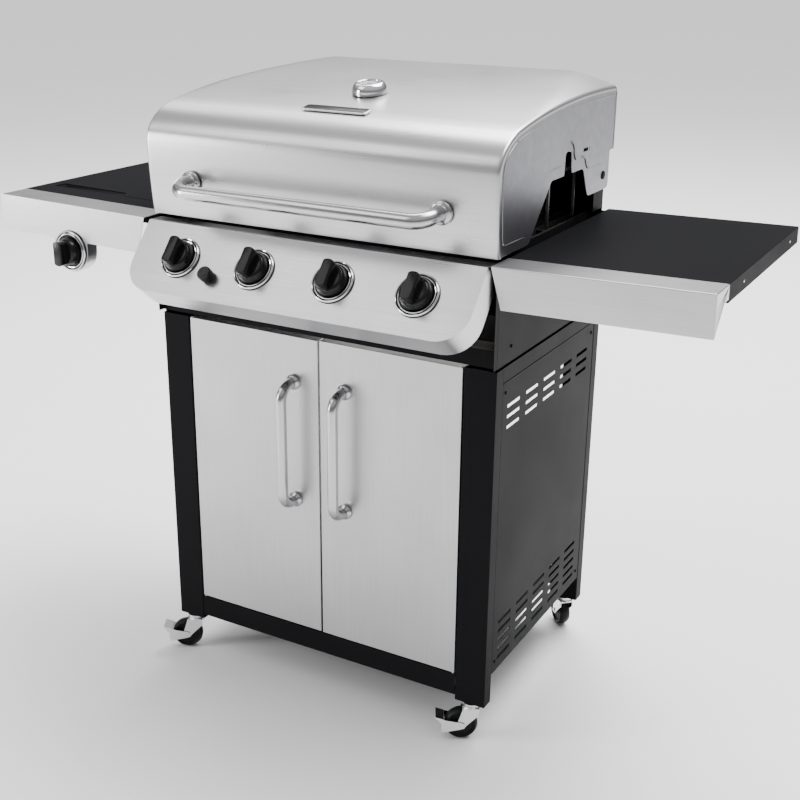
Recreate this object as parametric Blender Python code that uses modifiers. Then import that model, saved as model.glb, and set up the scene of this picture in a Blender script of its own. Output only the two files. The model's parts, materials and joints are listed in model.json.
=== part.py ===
"""Gas barbecue grill: a wheeled cabinet with two doors, a slanted control panel, a hinged
hood and two side shelves, one of them with a lidded burner.

Metres, +Z up, front towards -Y. Everything is modelled with the door faces on y = 0 and
the floor on z = 0. The last section then centres the footprint on the origin.
"""
import math

import bmesh
import bpy
from mathutils import Matrix, Vector

# ---- driving sizes ----------------------------------------------------------------------
WIDTH = 1.340            # over both side shelves
BODY = 0.660             # cabinet width
DEPTH = 0.457            # door faces to the back of the rear posts
CABINET_TOP = 0.687      # top of the posts
SHELF_Z = 0.8655         # top of the side shelves, beside the cabinet
HOOD_HEIGHT = 0.2351     # lower edge of the hood to its highest point
SHELF_RISE = 0.0064      # how much higher a shelf's outer end sits
RAIL_HEIGHT = 0.065      # steel front of a shelf
RAIL_DEPTH = 0.063       # its top flange
POST_WIDTH = 0.057
POST_DEPTH = 0.027
SHEET = 0.0015           # sheet metal
DOOR_BOTTOM = 0.126
DOOR_THICKNESS = 0.018
WHEEL_RADIUS = 0.0295
WHEEL_WIDTH = 0.021
CASTER_HEAD = 0.0145      # top of a wheel to the underside of its post
TRAIL = 0.0185           # wheel axle behind the swivel axis
AXLE_RADIUS = 0.003
AXLE_BORE = 0.00307      # radius of the largest pin that its holes would take
PANEL_TILT = 40.0        # degrees from upright
PANEL_LENGTH = 0.131     # slanted face, top to bottom
PANEL_CORNER = 0.052     # radius of its lower corners
PANEL_WALL = 0.050       # depth of its side walls
KNOB_RADIUS = 0.0275
KNOB_HEIGHT = 0.036
BEZEL_RADIUS = 0.037
KNOB_PITCH = 0.1505      # burner to burner
HANDLE_TUBE = 0.0122     # radius of the hood handle's tube
DOOR_TUBE = 0.0092       # radius of the door handles' tube
HANDLE_LENGTH = 0.2215   # door handle, foot to foot
LID_REAR = 0.018         # rear edge of the burner lid to the back of the shelf
GAP = 0.0003             # between two pieces that touch
BURY = 0.0002            # how far a joined piece is sunk, so that no faces coincide

# ---- places worked out from them --------------------------------------------------------
LEG_Z = 2 * WHEEL_RADIUS + CASTER_HEAD   # underside of the posts
HALF_BODY = BODY / 2
HALF_WIDTH = WIDTH / 2
POST_INNER = HALF_BODY - POST_WIDTH
RAIL_BOTTOM = LEG_Z + 0.008
RAIL_TOP = DOOR_BOTTOM - 0.0025
FLOOR_Z = LEG_Z + 0.0265
HEAD_Z = CABINET_TOP + 0.0055        # lower edge of the head frame's sides
TRAY_Z = CABINET_TOP + 0.018 + GAP   # underside of the drip tray, on its runners
FIRE_BOTTOM = CABINET_TOP + 0.052
FIRE_TOP = SHELF_Z + 0.0022
FIRE_FRONT = 0.030
FIRE_BACK = DEPTH - 0.019
FIRE_HALF = HALF_BODY - 0.017
BURNER_Z = FIRE_BOTTOM + 0.076
GRATE_Z = FIRE_TOP - 0.012
HOOD_Z = SHELF_Z + 0.0045            # lower edge of the hood
HOOD_HALF = HALF_BODY + 0.001
HOOD_SHEET = 0.0012
HINGE_Y = DEPTH - 0.0352             # hood hinge
HINGE_Z = HOOD_Z + 0.0625
WALL_HALF = HALF_BODY - 0.0085       # rear wall, outside its ears
DOOR_EDGE = POST_INNER - 0.0022
DOOR_PIN_X = DOOR_EDGE - 0.0035
DOOR_PIN_Y = 0.0035
SHELF_FRONT = -0.0375
SHELF_SEAM = SHELF_FRONT + RAIL_DEPTH
SHELF_BACK = DEPTH + 0.006
TILT = math.asin(SHELF_RISE / (HALF_WIDTH - HALF_BODY))
WELL_Z = SHELF_Z - 0.052             # underside of the side burner's well
SIDE_KNOB_X = 0.1665 - HALF_WIDTH
SIDE_KNOB_Z = SHELF_Z - 0.0835
CUP_RADIUS = 0.0395                  # tab around the side burner's knob
BURNERS_X = [KNOB_PITCH * (number - 1.5) for number in range(4)]
SIDES = {"left": -1, "right": 1}
UP = Vector((0, 0, 1))
X_TO_Y = Matrix(((0, 1, 0), (1, 0, 0), (0, 0, 1))).to_4x4()

for leftover in list(bpy.data.objects):
    bpy.data.objects.remove(leftover)
PARTS = bpy.data.collections.new("gas_barbecue_grill")
CUTTERS = bpy.data.collections.new("cutters")
for collection in (PARTS, CUTTERS):
    bpy.context.scene.collection.children.link(collection)


# ---- materials --------------------------------------------------------------------------
def material(name, colour, roughness, metallic):
    made = bpy.data.materials.new(name)
    made.use_nodes = True
    shader = made.node_tree.nodes["Principled BSDF"]
    shader.inputs["Base Color"].default_value = (*colour, 1)
    shader.inputs["Roughness"].default_value = roughness
    shader.inputs["Metallic"].default_value = metallic
    made.diffuse_color = (*colour, 1)
    return made


STAINLESS = material("stainless", (0.64, 0.64, 0.65), 0.3, 1)
CHROME = material("chrome", (0.78, 0.78, 0.80), 0.08, 1)
SATIN_STEEL = material("satin_steel", (0.60, 0.60, 0.61), 0.2, 1)
GREY_STEEL = material("grey_steel", (0.30, 0.30, 0.32), 0.4, 0.7)
BLACK_PAINT = material("black_paint", (0.03, 0.03, 0.032), 0.45, 0)
ENAMEL = material("enamel", (0.02, 0.02, 0.022), 0.2, 0)
INNER_STEEL = material("inner_steel", (0.50, 0.50, 0.50), 0.35, 1)
CAST_IRON = material("cast_iron", (0.05, 0.05, 0.05), 0.7, 0.3)
ALUMINIUM = material("aluminium", (0.60, 0.60, 0.60), 0.4, 1)
BRASS = material("brass", (0.60, 0.45, 0.20), 0.3, 1)
KNOB_PLASTIC = material("knob_plastic", (0.02, 0.02, 0.022), 0.15, 0)
WHEEL_PLASTIC = material("wheel_plastic", (0.02, 0.02, 0.02), 0.5, 0)


# ---- modelling tools --------------------------------------------------------------------
def add(name, data, finish=None):
    """A new object in the collection of parts, with its material."""
    made = bpy.data.objects.new(name, data)
    PARTS.objects.link(made)
    if finish:
        data.materials.append(finish)
    return made


def from_bmesh(name, shape, finish=None):
    bmesh.ops.recalc_face_normals(shape, faces=shape.faces)
    mesh = bpy.data.meshes.new(name)
    shape.to_mesh(mesh)
    shape.free()
    return add(name, mesh, finish)


def cube(low, high):
    """A bmesh box between two corners."""
    low, high = Vector(low), Vector(high)
    shape = bmesh.new()
    bmesh.ops.create_cube(shape, size=1)
    bmesh.ops.scale(shape, vec=high - low, verts=shape.verts)
    bmesh.ops.translate(shape, vec=(high + low) / 2, verts=shape.verts)
    return shape


def box(name, low, high, finish=None):
    return from_bmesh(name, cube(low, high), finish)


def solidify(piece, thickness, offset=-1.0):
    """Gives an open surface its wall; -1 grows it inwards."""
    wall = piece.modifiers.new("wall", "SOLIDIFY")
    wall.thickness = thickness
    wall.offset = offset
    wall.use_even_offset = True
    return piece


def shell(name, low, high, open_sides, thickness, finish=None):
    """A box of sheet metal without some of its sides, each given as its outward direction."""
    shape = cube(low, high)
    shape.normal_update()
    missing = [
        face for face in shape.faces
        if any(face.normal.dot(Vector(side)) > 0.9 for side in open_sides)
    ]
    mesh = bpy.data.meshes.new(name)
    bmesh.ops.delete(shape, geom=missing, context="FACES")
    shape.to_mesh(mesh)
    shape.free()
    return solidify(add(name, mesh, finish), thickness)


def outline(name, points, start, end, finish=None):
    """A flat outline in XY made solid from z = start to z = end."""
    curve = bpy.data.curves.new(name, "CURVE")
    curve.dimensions = "2D"
    curve.fill_mode = "BOTH"
    curve.extrude = (end - start) / 2
    spline = curve.splines.new("POLY")
    spline.points.add(len(points) - 1)
    for point, (x, y) in zip(spline.points, points):
        point.co = (x, y, 0, 1)
    spline.use_cyclic_u = True
    flat = add(name, curve, finish)
    flat.location.z = (start + end) / 2
    return as_mesh(flat)


def as_mesh(piece):
    """The evaluated object as a mesh object, with its place in its mesh."""
    name = piece.name
    bpy.context.view_layer.update()
    graph = bpy.context.evaluated_depsgraph_get()
    mesh = bpy.data.meshes.new_from_object(piece.evaluated_get(graph))
    mesh.transform(piece.matrix_world)
    shape = bmesh.new()
    shape.from_mesh(mesh)
    bmesh.ops.remove_doubles(shape, verts=shape.verts, dist=1e-6)
    bmesh.ops.recalc_face_normals(shape, faces=shape.faces)
    shape.to_mesh(mesh)
    shape.free()
    bpy.data.objects.remove(piece)
    return add(name, mesh)


def turned(name, profile, steps, finish=None):
    """A profile of (radius, height) points, axis to axis, turned about +Z."""
    mesh = bpy.data.meshes.new(name)
    points = [(radius, 0, height) for radius, height in profile]
    mesh.from_pydata(points, [(i, i + 1) for i in range(len(points) - 1)], [])
    piece = add(name, mesh, finish)
    screw = piece.modifiers.new("turn", "SCREW")
    screw.steps = steps
    screw.render_steps = steps
    screw.use_merge_vertices = True
    screw.merge_threshold = 1e-5
    return piece


def disc(radius, low, high):
    """The profile of a plain cylinder, top to bottom."""
    return [(0, high), (radius, high), (radius, low), (0, low)]


def tube(name, points, radii, finish=None):
    """A round bar along points, with its radius at each of them."""
    curve = bpy.data.curves.new(name, "CURVE")
    curve.dimensions = "3D"
    curve.bevel_depth = 1.0
    curve.bevel_resolution = 2
    curve.use_fill_caps = True
    curve.twist_mode = "MINIMUM"
    spline = curve.splines.new("POLY")
    spline.points.add(len(points) - 1)
    for point, place, radius in zip(spline.points, points, radii):
        point.co = (*place, 1)
        point.radius = radius
    return add(name, curve, finish)


def folded(name, path, length, thickness, finish=None):
    """A strip of sheet metal, centred along X, whose wall is to the right of a path in YZ."""
    shape = bmesh.new()
    row = [shape.verts.new((-length / 2, y, z)) for y, z in path]
    edges = [shape.edges.new(pair) for pair in zip(row, row[1:])]
    swept = bmesh.ops.extrude_edge_only(shape, edges=edges)["geom"]
    far = [part for part in swept if isinstance(part, bmesh.types.BMVert)]
    bmesh.ops.translate(shape, vec=(length, 0, 0), verts=far)
    shape.normal_update()
    along = Vector(path[1]) - Vector(path[0])
    middle = Vector((0, *(Vector(path[1]) + Vector(path[0])) / 2))
    first = min(shape.faces, key=lambda face: (face.calc_center_bounds() - middle).length)
    if first.normal.dot((0, along.y, -along.x)) < 0:
        bmesh.ops.reverse_faces(shape, faces=shape.faces)
    mesh = bpy.data.meshes.new(name)
    shape.to_mesh(mesh)
    shape.free()
    return solidify(add(name, mesh, finish), thickness, 1.0)


def place(piece, location=(0, 0, 0), axis=UP, turn=0.0):
    """Puts the piece's origin at a place and its +Z along an axis."""
    spin = Matrix.Rotation(turn, 4, "Z")
    aim = Vector(axis).to_track_quat("Z", "Y").to_matrix().to_4x4()
    piece.matrix_world = Matrix.Translation(location) @ aim @ spin @ piece.matrix_world
    return piece


def moved(piece, matrix):
    """Applies a matrix to the piece's mesh, and keeps its faces outwards."""
    piece.data.transform(matrix)
    if matrix.determinant() < 0:
        piece.data.flip_normals()
    return piece


def boolean(piece, tool, operation):
    """Cuts or joins with a tool that stays beside the piece as its cutter."""
    step = piece.modifiers.new(operation.lower(), "BOOLEAN")
    step.operation = operation
    step.solver = "EXACT"
    step.object = tool
    tool.hide_render = True
    tool.display_type = "WIRE"
    tool.name = f"{piece.name}_{operation.lower()}"
    PARTS.objects.unlink(tool)
    CUTTERS.objects.link(tool)
    bpy.context.view_layer.update()
    keep = tool.matrix_world.copy()
    tool.parent = piece
    tool.matrix_parent_inverse = piece.matrix_world.inverted()
    tool.matrix_world = keep
    return piece


def cut(piece, tool):
    return boolean(piece, tool, "DIFFERENCE")


def join(piece, tool):
    return boolean(piece, tool, "UNION")


def repeated(piece, count, step):
    """Copies of a tool in a row, as one object."""
    row = piece.modifiers.new("row", "ARRAY")
    row.count = count
    row.use_relative_offset = False
    row.use_constant_offset = True
    row.constant_offset_displace = step
    return piece


def pivot(name, pieces, at, origin=None):
    """An empty on a joint's axis that carries its pieces, modelled around an origin."""
    empty = bpy.data.objects.new(name, None)
    empty.empty_display_size = 0.05
    PARTS.objects.link(empty)
    empty.location = at
    back = Matrix.Translation(Vector(at if origin is None else origin)).inverted()
    for piece in pieces:
        piece.parent = empty
        piece.matrix_parent_inverse = back
    return empty


def arc(centre, radius, start, end, steps):
    """Points of an arc, with its angles in degrees."""
    angles = [math.radians(start + (end - start) * i / steps) for i in range(steps + 1)]
    return [
        (centre[0] + radius * math.cos(a), centre[1] + radius * math.sin(a)) for a in angles
    ]


def rounded(corners, steps=4):
    """An outline from (x, y, radius) corners, each turned into an arc."""
    points = []
    for i, (x, y, radius) in enumerate(corners):
        corner = Vector((x, y))
        if radius == 0:
            points.append((x, y))
            continue
        before = (Vector(corners[i - 1][:2]) - corner).normalized()
        after = (Vector(corners[(i + 1) % len(corners)][:2]) - corner).normalized()
        half = before.angle(after) / 2
        reach = radius / math.tan(half)
        centre = corner + (before + after).normalized() * radius / math.sin(half)
        first = corner + before * reach - centre
        last = corner + after * reach - centre
        sweep = first.angle_signed(last)
        for k in range(steps + 1):
            spot = centre + Matrix.Rotation(-sweep * k / steps, 2) @ first
            points.append((spot.x, spot.y))
    return points


def bend(start, pull, end, steps):
    """A smooth bend from start to end, drawn towards a pull point."""
    run = []
    for k in range(steps + 1):
        t = k / steps
        run.append(tuple(
            (1 - t) ** 2 * a + 2 * t * (1 - t) * b + t * t * c
            for a, b, c in zip(start, pull, end)
        ))
    return run


# ---- cabinet ----------------------------------------------------------------------------
def posts():
    for row, y in (("front", 0), ("rear", DEPTH - POST_DEPTH)):
        for side, sign in SIDES.items():
            x = min(sign * HALF_BODY, sign * POST_INNER)
            shell(
                f"post_{row}_{side}", (x, y, LEG_Z), (x + POST_WIDTH, y + POST_DEPTH, CABINET_TOP),
                (UP, -UP), SHEET, BLACK_PAINT,
            )


def bottom_rail():
    front = 0.0008
    path = [
        (POST_DEPTH, RAIL_BOTTOM), (front, RAIL_BOTTOM), (front, RAIL_TOP), (POST_DEPTH, RAIL_TOP),
    ]
    folded("rail_bottom_front", path, 2 * (POST_INNER - GAP), SHEET, BLACK_PAINT)


def floor_shelf():
    """A sheet with a lip at its front and a rail along its back."""
    front = POST_DEPTH + GAP
    path = [(DEPTH, RAIL_TOP), (DEPTH, FLOOR_Z), (front, FLOOR_Z), (front, RAIL_TOP)]
    length = 2 * (POST_INNER - GAP)
    piece = folded("floor_shelf", path, length, SHEET, BLACK_PAINT)
    inset = length / 2 - BURY
    join(piece, box(
        "rail", (-inset, DEPTH - SHEET + BURY, RAIL_BOTTOM), (inset, DEPTH - BURY, FLOOR_Z + BURY),
    ))


def side_panels():
    """Folded sheets with ventilation slots in five columns."""
    slot, tall, column = 0.0505, 0.0062, 0.0753
    first = 0.0485 - POST_DEPTH
    scale = (DEPTH - 2 * POST_DEPTH) / 0.403
    inner, outer = HALF_BODY - 0.0225, HALF_BODY - 0.0005
    groups = ((CABINET_TOP - 0.1081, 3, 0.0183), (DOOR_BOTTOM + 0.0221, 5, 0.0176))
    for side, sign in SIDES.items():
        path = [
            (sign * inner, CABINET_TOP), (sign * outer, CABINET_TOP),
            (sign * outer, DOOR_BOTTOM), (sign * inner, DOOR_BOTTOM),
        ]
        length = DEPTH - 2 * (POST_DEPTH + GAP)
        piece = folded(f"side_panel_{side}", path[::sign], length, SHEET, BLACK_PAINT)
        moved(piece, Matrix.Translation((0, DEPTH / 2, 0)) @ X_TO_Y)
        for low, rows, pitch in groups:
            y = POST_DEPTH + first * scale
            x = sign * outer
            tool = box(
                "slots", (x - 0.004, y, low - tall / 2), (x + 0.004, y + slot * scale, low + tall / 2),
            )
            repeated(tool, 5, (0, column * scale, 0))
            repeated(tool, rows, (0, 0, pitch))
            cut(piece, tool)


def head_frame():
    """Sides, front header and back plate, welded, with the drip tray's runners."""
    top = SHELF_Z - 0.003
    piece = shell(
        "head_frame", (-HALF_BODY, 0, HEAD_Z), (HALF_BODY, DEPTH, top), (UP, -UP), SHEET, BLACK_PAINT,
    )
    inside = HALF_BODY - SHEET - BURY
    cut(piece, box(
        "front_window", (-inside, -0.01, HEAD_Z + 0.0295), (inside, SHEET + 0.01, top + 0.01),
    ))
    cut(piece, box(
        "rear_window", (-inside, DEPTH - 0.01, HEAD_Z - 0.01), (inside, DEPTH + 0.01, FIRE_BOTTOM),
    ))
    for sign in SIDES.values():
        for xs, ys, zs in (
            ((HALF_BODY - SHEET + BURY, HALF_BODY - BURY), (-0.012, 0.001), (HEAD_Z + BURY, top - BURY)),
            ((HALF_BODY - 0.006, HALF_BODY - BURY), (0.001, DEPTH - BURY), (HEAD_Z + BURY, HEAD_Z + SHEET)),
            (
                (HALF_BODY - 0.006, HALF_BODY - 0.0045), (0.0012, DEPTH - 0.0004),
                (CABINET_TOP + GAP, HEAD_Z + SHEET - BURY),
            ),
            (
                (HALF_BODY - 0.03, HALF_BODY - SHEET / 2), (0.001, DEPTH - BURY),
                (TRAY_Z - GAP - SHEET, TRAY_Z - GAP),
            ),
        ):
            x0, x1 = sorted(sign * x for x in xs)
            join(piece, box("bracket", (x0, ys[0], zs[0]), (x1, ys[1], zs[1])))


def drip_tray():
    half, front, high = HALF_BODY - 0.0085, 0.03, 0.02
    piece = shell(
        "grease_tray", (-half, front, TRAY_Z), (half, DEPTH, TRAY_Z + high), (UP,), SHEET, INNER_STEEL,
    )
    top = TRAY_Z + high - BURY
    join(piece, box(
        "lip", (BURY - half, DEPTH - 0.001, top - SHEET), (half - BURY, DEPTH + 0.012, top),
    ))
    return piece


# ---- cooking space ----------------------------------------------------------------------
def firebox():
    middle = (FIRE_FRONT + FIRE_BACK) / 2
    high = FIRE_BOTTOM + 0.07
    section = [
        (FIRE_FRONT, FIRE_TOP), (FIRE_FRONT, high), (middle - 0.11, FIRE_BOTTOM),
        (middle + 0.11, FIRE_BOTTOM), (FIRE_BACK, high), (FIRE_BACK, FIRE_TOP),
    ]
    shape = bmesh.new()
    ends = [
        shape.faces.new([shape.verts.new((x, y, z)) for y, z in section])
        for x in (-FIRE_HALF, FIRE_HALF)
    ]
    count = len(section)
    rings = [list(end.verts) for end in ends]
    for i in range(count - 1):
        shape.faces.new((rings[0][i], rings[0][i + 1], rings[1][i + 1], rings[1][i]))
    piece = solidify(from_bmesh("firebox", shape, ENAMEL), 0.002)
    cut(piece, box(
        "drain", (0.06 - FIRE_HALF, middle - 0.035, FIRE_BOTTOM - 0.01),
        (FIRE_HALF - 0.06, middle + 0.035, FIRE_BOTTOM + 0.01),
    ))
    for x in BURNERS_X:
        hole = turned("hole", disc(0.0115, -0.01, 0.01), 10)
        cut(piece, place(hole, (x, FIRE_FRONT, BURNER_Z), (0, 1, 0)))


def burners():
    """Tube burners on a narrow venturi, from the front wall to near the back."""
    start = FIRE_FRONT - 0.012
    length = FIRE_BACK - 0.02 - start
    profile = [
        (0, length), (0.0115, length), (0.0145, length - 0.003), (0.0145, 0.038), (0.008, 0.028),
        (0.008, 0), (0, 0),
    ]
    for number, x in enumerate(BURNERS_X, 1):
        piece = turned(f"burner_{number}", profile, 12, INNER_STEEL)
        place(piece, (x, start, BURNER_Z), (0, 1, 0))


def heat_plate():
    """One sheet with a ridge over each burner."""
    low, ridge, half = BURNER_Z + 0.006, BURNER_Z + 0.030, 0.042
    path = [(0.004 - FIRE_HALF, low)]
    for x in BURNERS_X:
        path += [(x - half, low), (x, ridge), (x + half, low)]
    path.append((FIRE_HALF - 0.004, low))
    length = FIRE_BACK - FIRE_FRONT - 0.012
    piece = folded("heat_plate", path[::-1], length, SHEET, INNER_STEEL)
    moved(piece, Matrix.Translation((0, (FIRE_FRONT + FIRE_BACK) / 2, 0)) @ X_TO_Y)


def grid(name, low, high, bar, bars, thick, finish):
    """A welded frame with bars along Y at an even pitch, and one bar across."""
    (x0, y0, z0), (x1, y1, z1) = low, high
    piece = shell(name, low, high, (UP, -UP), thick, finish)
    pitch = (x1 - x0 - thick) / (bars + 1)
    x = x0 + thick / 2 + pitch - bar / 2
    rod = box(
        "bars", (x, y0 + BURY * 2, z0 + BURY), (x + bar, y1 - BURY * 2, z1 - BURY),
    )
    join(piece, repeated(rod, bars, (pitch, 0, 0)))
    middle = (y0 + y1) / 2
    join(piece, box(
        "cross", (x0 + BURY * 2, middle - bar / 2, z0 + BURY * 2),
        (x1 - BURY * 2, middle + bar / 2, z1 - BURY * 2),
    ))
    return piece


def grates():
    clear = 0.0035
    for side, sign in SIDES.items():
        x0, x1 = sorted((sign * 0.001, sign * (FIRE_HALF - clear)))
        grid(
            f"grate_{side}", (x0, FIRE_FRONT + clear, GRATE_Z), (x1, FIRE_BACK - clear, GRATE_Z + 0.010),
            0.0065, 13, 0.0065, CAST_IRON,
        )


def warming_rack():
    """A wire rack over the back of the grates, on two wire ends."""
    half = FIRE_HALF - 0.014
    back = DEPTH - 0.085
    front = back - 0.12
    z = FIRE_TOP + 0.082
    wire = 0.004
    piece = shell(
        "warming_rack", (-half, front, z), (half, back, z + wire), (UP, -UP), wire, INNER_STEEL,
    )
    pitch = (back - front - wire) / 9
    y = front + pitch
    rod = box(
        "wires", (BURY * 2 - half, y, z + BURY), (half - BURY * 2, y + wire - BURY * 2, z + wire - BURY),
    )
    join(piece, repeated(rod, 8, (0, pitch, 0)))
    for x in (-half, half - 0.005):
        for y in (front, back - wire):
            join(piece, box(
                "leg", (x + BURY, y + BURY, GRATE_Z + 0.0105),
                (x + 0.005 - BURY, y + wire - BURY, z + wire / 2),
            ))


def rear_wall():
    """The sheet behind the cooking space, with ears that carry the hood's hinge studs."""
    ear = HINGE_Y - 0.016
    back = DEPTH - 0.0025
    low = SHELF_Z - 0.012
    high = HOOD_Z + 0.093
    piece = shell(
        "rear_wall", (-WALL_HALF, ear, low), (WALL_HALF, back, high), (UP, -UP, (0, -1, 0)), SHEET,
        ENAMEL,
    )
    cut(piece, box(
        "ear_foot", (-HALF_BODY, ear - 0.01, low - 0.01),
        (HALF_BODY, back - SHEET - BURY, FIRE_TOP + 0.0005),
    ))
    long = HOOD_HALF - 0.0004 - WALL_HALF + 0.001
    profile = [
        (0, long + 0.0022), (0.0045, long + 0.0022), (0.0075, long + 0.0012), (0.0075, long),
        (0.004, long), (0.004, 0), (0, 0),
    ]
    for sign in SIDES.values():
        stud = turned("stud", profile, 20)
        join(piece, place(stud, (sign * (WALL_HALF - 0.001), HINGE_Y, HINGE_Z), (sign, 0, 0)))


# ---- doors ------------------------------------------------------------------------------
def doors():
    """Folded pans with a hinge pin at the top and bottom of the outer edge."""
    low, high = DOOR_BOTTOM, CABINET_TOP - 0.001
    reach = 0.03
    for side, sign in SIDES.items():
        x0, x1 = sorted((sign * 0.0018, sign * DOOR_EDGE))
        door = shell(
            f"door_{side}", (x0, 0, low), (x1, DOOR_THICKNESS, high), ((0, 1, 0),), 0.001, STAINLESS,
        )
        for z0, z1 in ((low - 0.002, low + reach), (high - reach, high + 0.0008)):
            pin = turned("pin", disc(0.0027, z0, z1), 10)
            join(door, place(pin, (sign * DOOR_PIN_X, DOOR_PIN_Y, 0)))
        at = (sign * DOOR_PIN_X, DOOR_PIN_Y, 0)
        pivot(f"{side}_door_hinge", [door, door_handle(side, sign)], at)


def door_handle(side, sign):
    x = sign * 0.0515
    top, off, corner, foot = CABINET_TOP - 0.083, 0.040, 0.026, 0.0140
    bottom = top - HANDLE_LENGTH
    points, radii = [], []
    for z, inward in ((top, -1), (bottom, 1)):
        centre = (corner - off, z + inward * corner)
        angles = (90, 180) if inward < 0 else (-90, -180)
        run = [(x, -GAP, z), (x, -0.004, z), (x, -0.0055, z)]
        run += [(x, y, height) for y, height in arc(centre, corner, *angles, 4)]
        sizes = [foot, foot] + [DOOR_TUBE] * (len(run) - 2)
        if inward > 0:
            run.reverse()
            sizes.reverse()
        points += run
        radii += sizes
    return tube(f"door_handle_{side}", points, radii, CHROME)


# ---- casters ----------------------------------------------------------------------------
def fork(name):
    """A pressed fork under a swivel crown; the wheel trails towards +X."""
    cheek, thick, top = WHEEL_WIDTH / 2 + 0.0012, 0.0018, LEG_Z - 0.010
    piece = turned(name, [
        (0, LEG_Z - GAP), (0.0165, LEG_Z - GAP), (0.0165, LEG_Z - 0.004), (0.0125, LEG_Z - 0.006),
        (0.0125, top - 0.001), (0, top - 0.001),
    ], 20, CHROME)
    leg = [
        (-0.0125, top - 0.0004), (0.0163, top - 0.0004), (TRAIL + 0.007, WHEEL_RADIUS + 0.004),
        (TRAIL + 0.005, WHEEL_RADIUS - 0.005), (TRAIL - 0.005, WHEEL_RADIUS - 0.006),
        (TRAIL - 0.009, WHEEL_RADIUS), (-0.0125, top - 0.012),
    ]
    for y in (-cheek - thick, cheek):
        join(piece, upright("leg", leg, y, y + thick))
    wide = cheek + 0.0005
    join(piece, box("bridge", (-0.013, -wide, top - 0.0025), (0.017, wide, top)))
    reach = cheek + thick + 0.002
    axle = turned("axle", disc(AXLE_RADIUS, -reach, reach), 12)
    return join(piece, place(axle, (TRAIL, 0, WHEEL_RADIUS), (0, 1, 0)))


def upright(name, points, start, end, finish=None):
    """An outline in XZ made solid from y = start to y = end."""
    piece = outline(name, points, -end, -start, finish)
    return moved(piece, Matrix.Rotation(math.radians(90), 4, "X"))


def wheel(name):
    """A hard wheel that stands on a flat of its tread."""
    steps = 24
    half = WHEEL_WIDTH / 2
    radius = WHEEL_RADIUS / math.cos(math.pi / steps)
    bore = AXLE_BORE / math.cos(math.pi / steps)
    side = [
        (radius, half - 0.006), (radius - 0.0035, half), (radius - 0.006, half - 0.003),
        (0.010, half - 0.003), (0.008, half - 0.001), (bore, half - 0.001),
    ]
    profile = side[::-1] + [(r, -h) for r, h in side]
    piece = turned(name, profile + profile[:1], steps, WHEEL_PLASTIC)
    return place(piece, (TRAIL, 0, WHEEL_RADIUS), (0, 1, 0), math.pi / steps)


def brake(name):
    """A pedal on the axle, whose bar crosses the tread."""
    cheek = WHEEL_WIDTH / 2 + 0.0034
    near, thick = WHEEL_RADIUS + 0.0035, 0.002
    centre = (TRAIL, WHEEL_RADIUS)
    inner = arc(centre, near, -24, 24, 3)
    outer = arc(centre, near + thick, 24, -24, 3)
    (tip_x, tip_z) = outer[0]
    lip = [(tip_x + 0.013, tip_z + 0.004), (tip_x + 0.0135, tip_z + 0.002)]
    wide = cheek + 0.0016
    piece = upright(name, inner + outer[:1] + lip + outer[1:], -wide, wide, CHROME)
    arm = [(TRAIL - 0.006, WHEEL_RADIUS - 0.004), (TRAIL + 0.002, WHEEL_RADIUS - 0.0065)]
    arm += arc(centre, near + thick / 2, -22, 22, 3)
    arm += [(TRAIL - 0.002, WHEEL_RADIUS + 0.0065), (TRAIL - 0.006, WHEEL_RADIUS + 0.004)]
    for y in (-cheek - 0.0017, cheek):
        join(piece, upright("arm", arm, y, y + 0.0017))
    bore = turned("bore", disc(AXLE_BORE / math.cos(math.pi / 12), -0.03, 0.03), 12)
    return cut(piece, place(bore, (TRAIL, 0, WHEEL_RADIUS), (0, 1, 0)))


def casters():
    front, rear = 0.0125, DEPTH - 0.0145
    spots = {
        "front_left": (-1, front, 209), "front_right": (1, front, 209),
        "rear_left": (-1, rear, 150), "rear_right": (1, rear, 133),
    }
    axle = (TRAIL, 0, WHEEL_RADIUS)
    for name, (sign, y, heading) in spots.items():
        pieces = [fork(f"caster_{name}"), pivot(f"{name}_axle", [wheel(f"wheel_{name}")], axle)]
        if name.startswith("front"):
            pieces.append(pivot(f"{name}_pedal", [brake(f"brake_{name}")], axle))
        at = (sign * (HALF_BODY - POST_WIDTH / 2), y, 0)
        swivel = pivot(f"{name}_swivel", pieces, at, (0, 0, 0))
        swivel.rotation_euler.z = math.radians(heading)


# ---- control panel ----------------------------------------------------------------------
PANEL_TOP = Vector((0, -0.031, SHELF_Z - 0.0037))   # upper edge of the slanted face
PANEL_HALF = HALF_BODY - 0.0072
LEAN = math.radians(PANEL_TILT)
DOWN = Vector((0, -math.sin(LEAN), -math.cos(LEAN)))
OUT = Vector((0, -math.cos(LEAN), math.sin(LEAN)))
FACE = Matrix.Translation(PANEL_TOP) @ Matrix(((1, 0, 0), DOWN, OUT)).transposed().to_4x4()
KNOB_DOWN = 0.0625
IGNITER = (-0.1562, 0.0887)


def on_face(x, down, out=0.0):
    """A point of the slanted face, from the middle of its upper edge."""
    return FACE @ Vector((x, down, out))


def panel_outline(inset, top):
    half, low, radius = PANEL_HALF - inset, PANEL_LENGTH - inset, PANEL_CORNER - inset
    left = arc((radius - half, low - radius), radius, 180, 90, 8)
    right = arc((half - radius, low - radius), radius, 90, 0, 8)
    return [(-half, top)] + left + right + [(half, top)]


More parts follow.
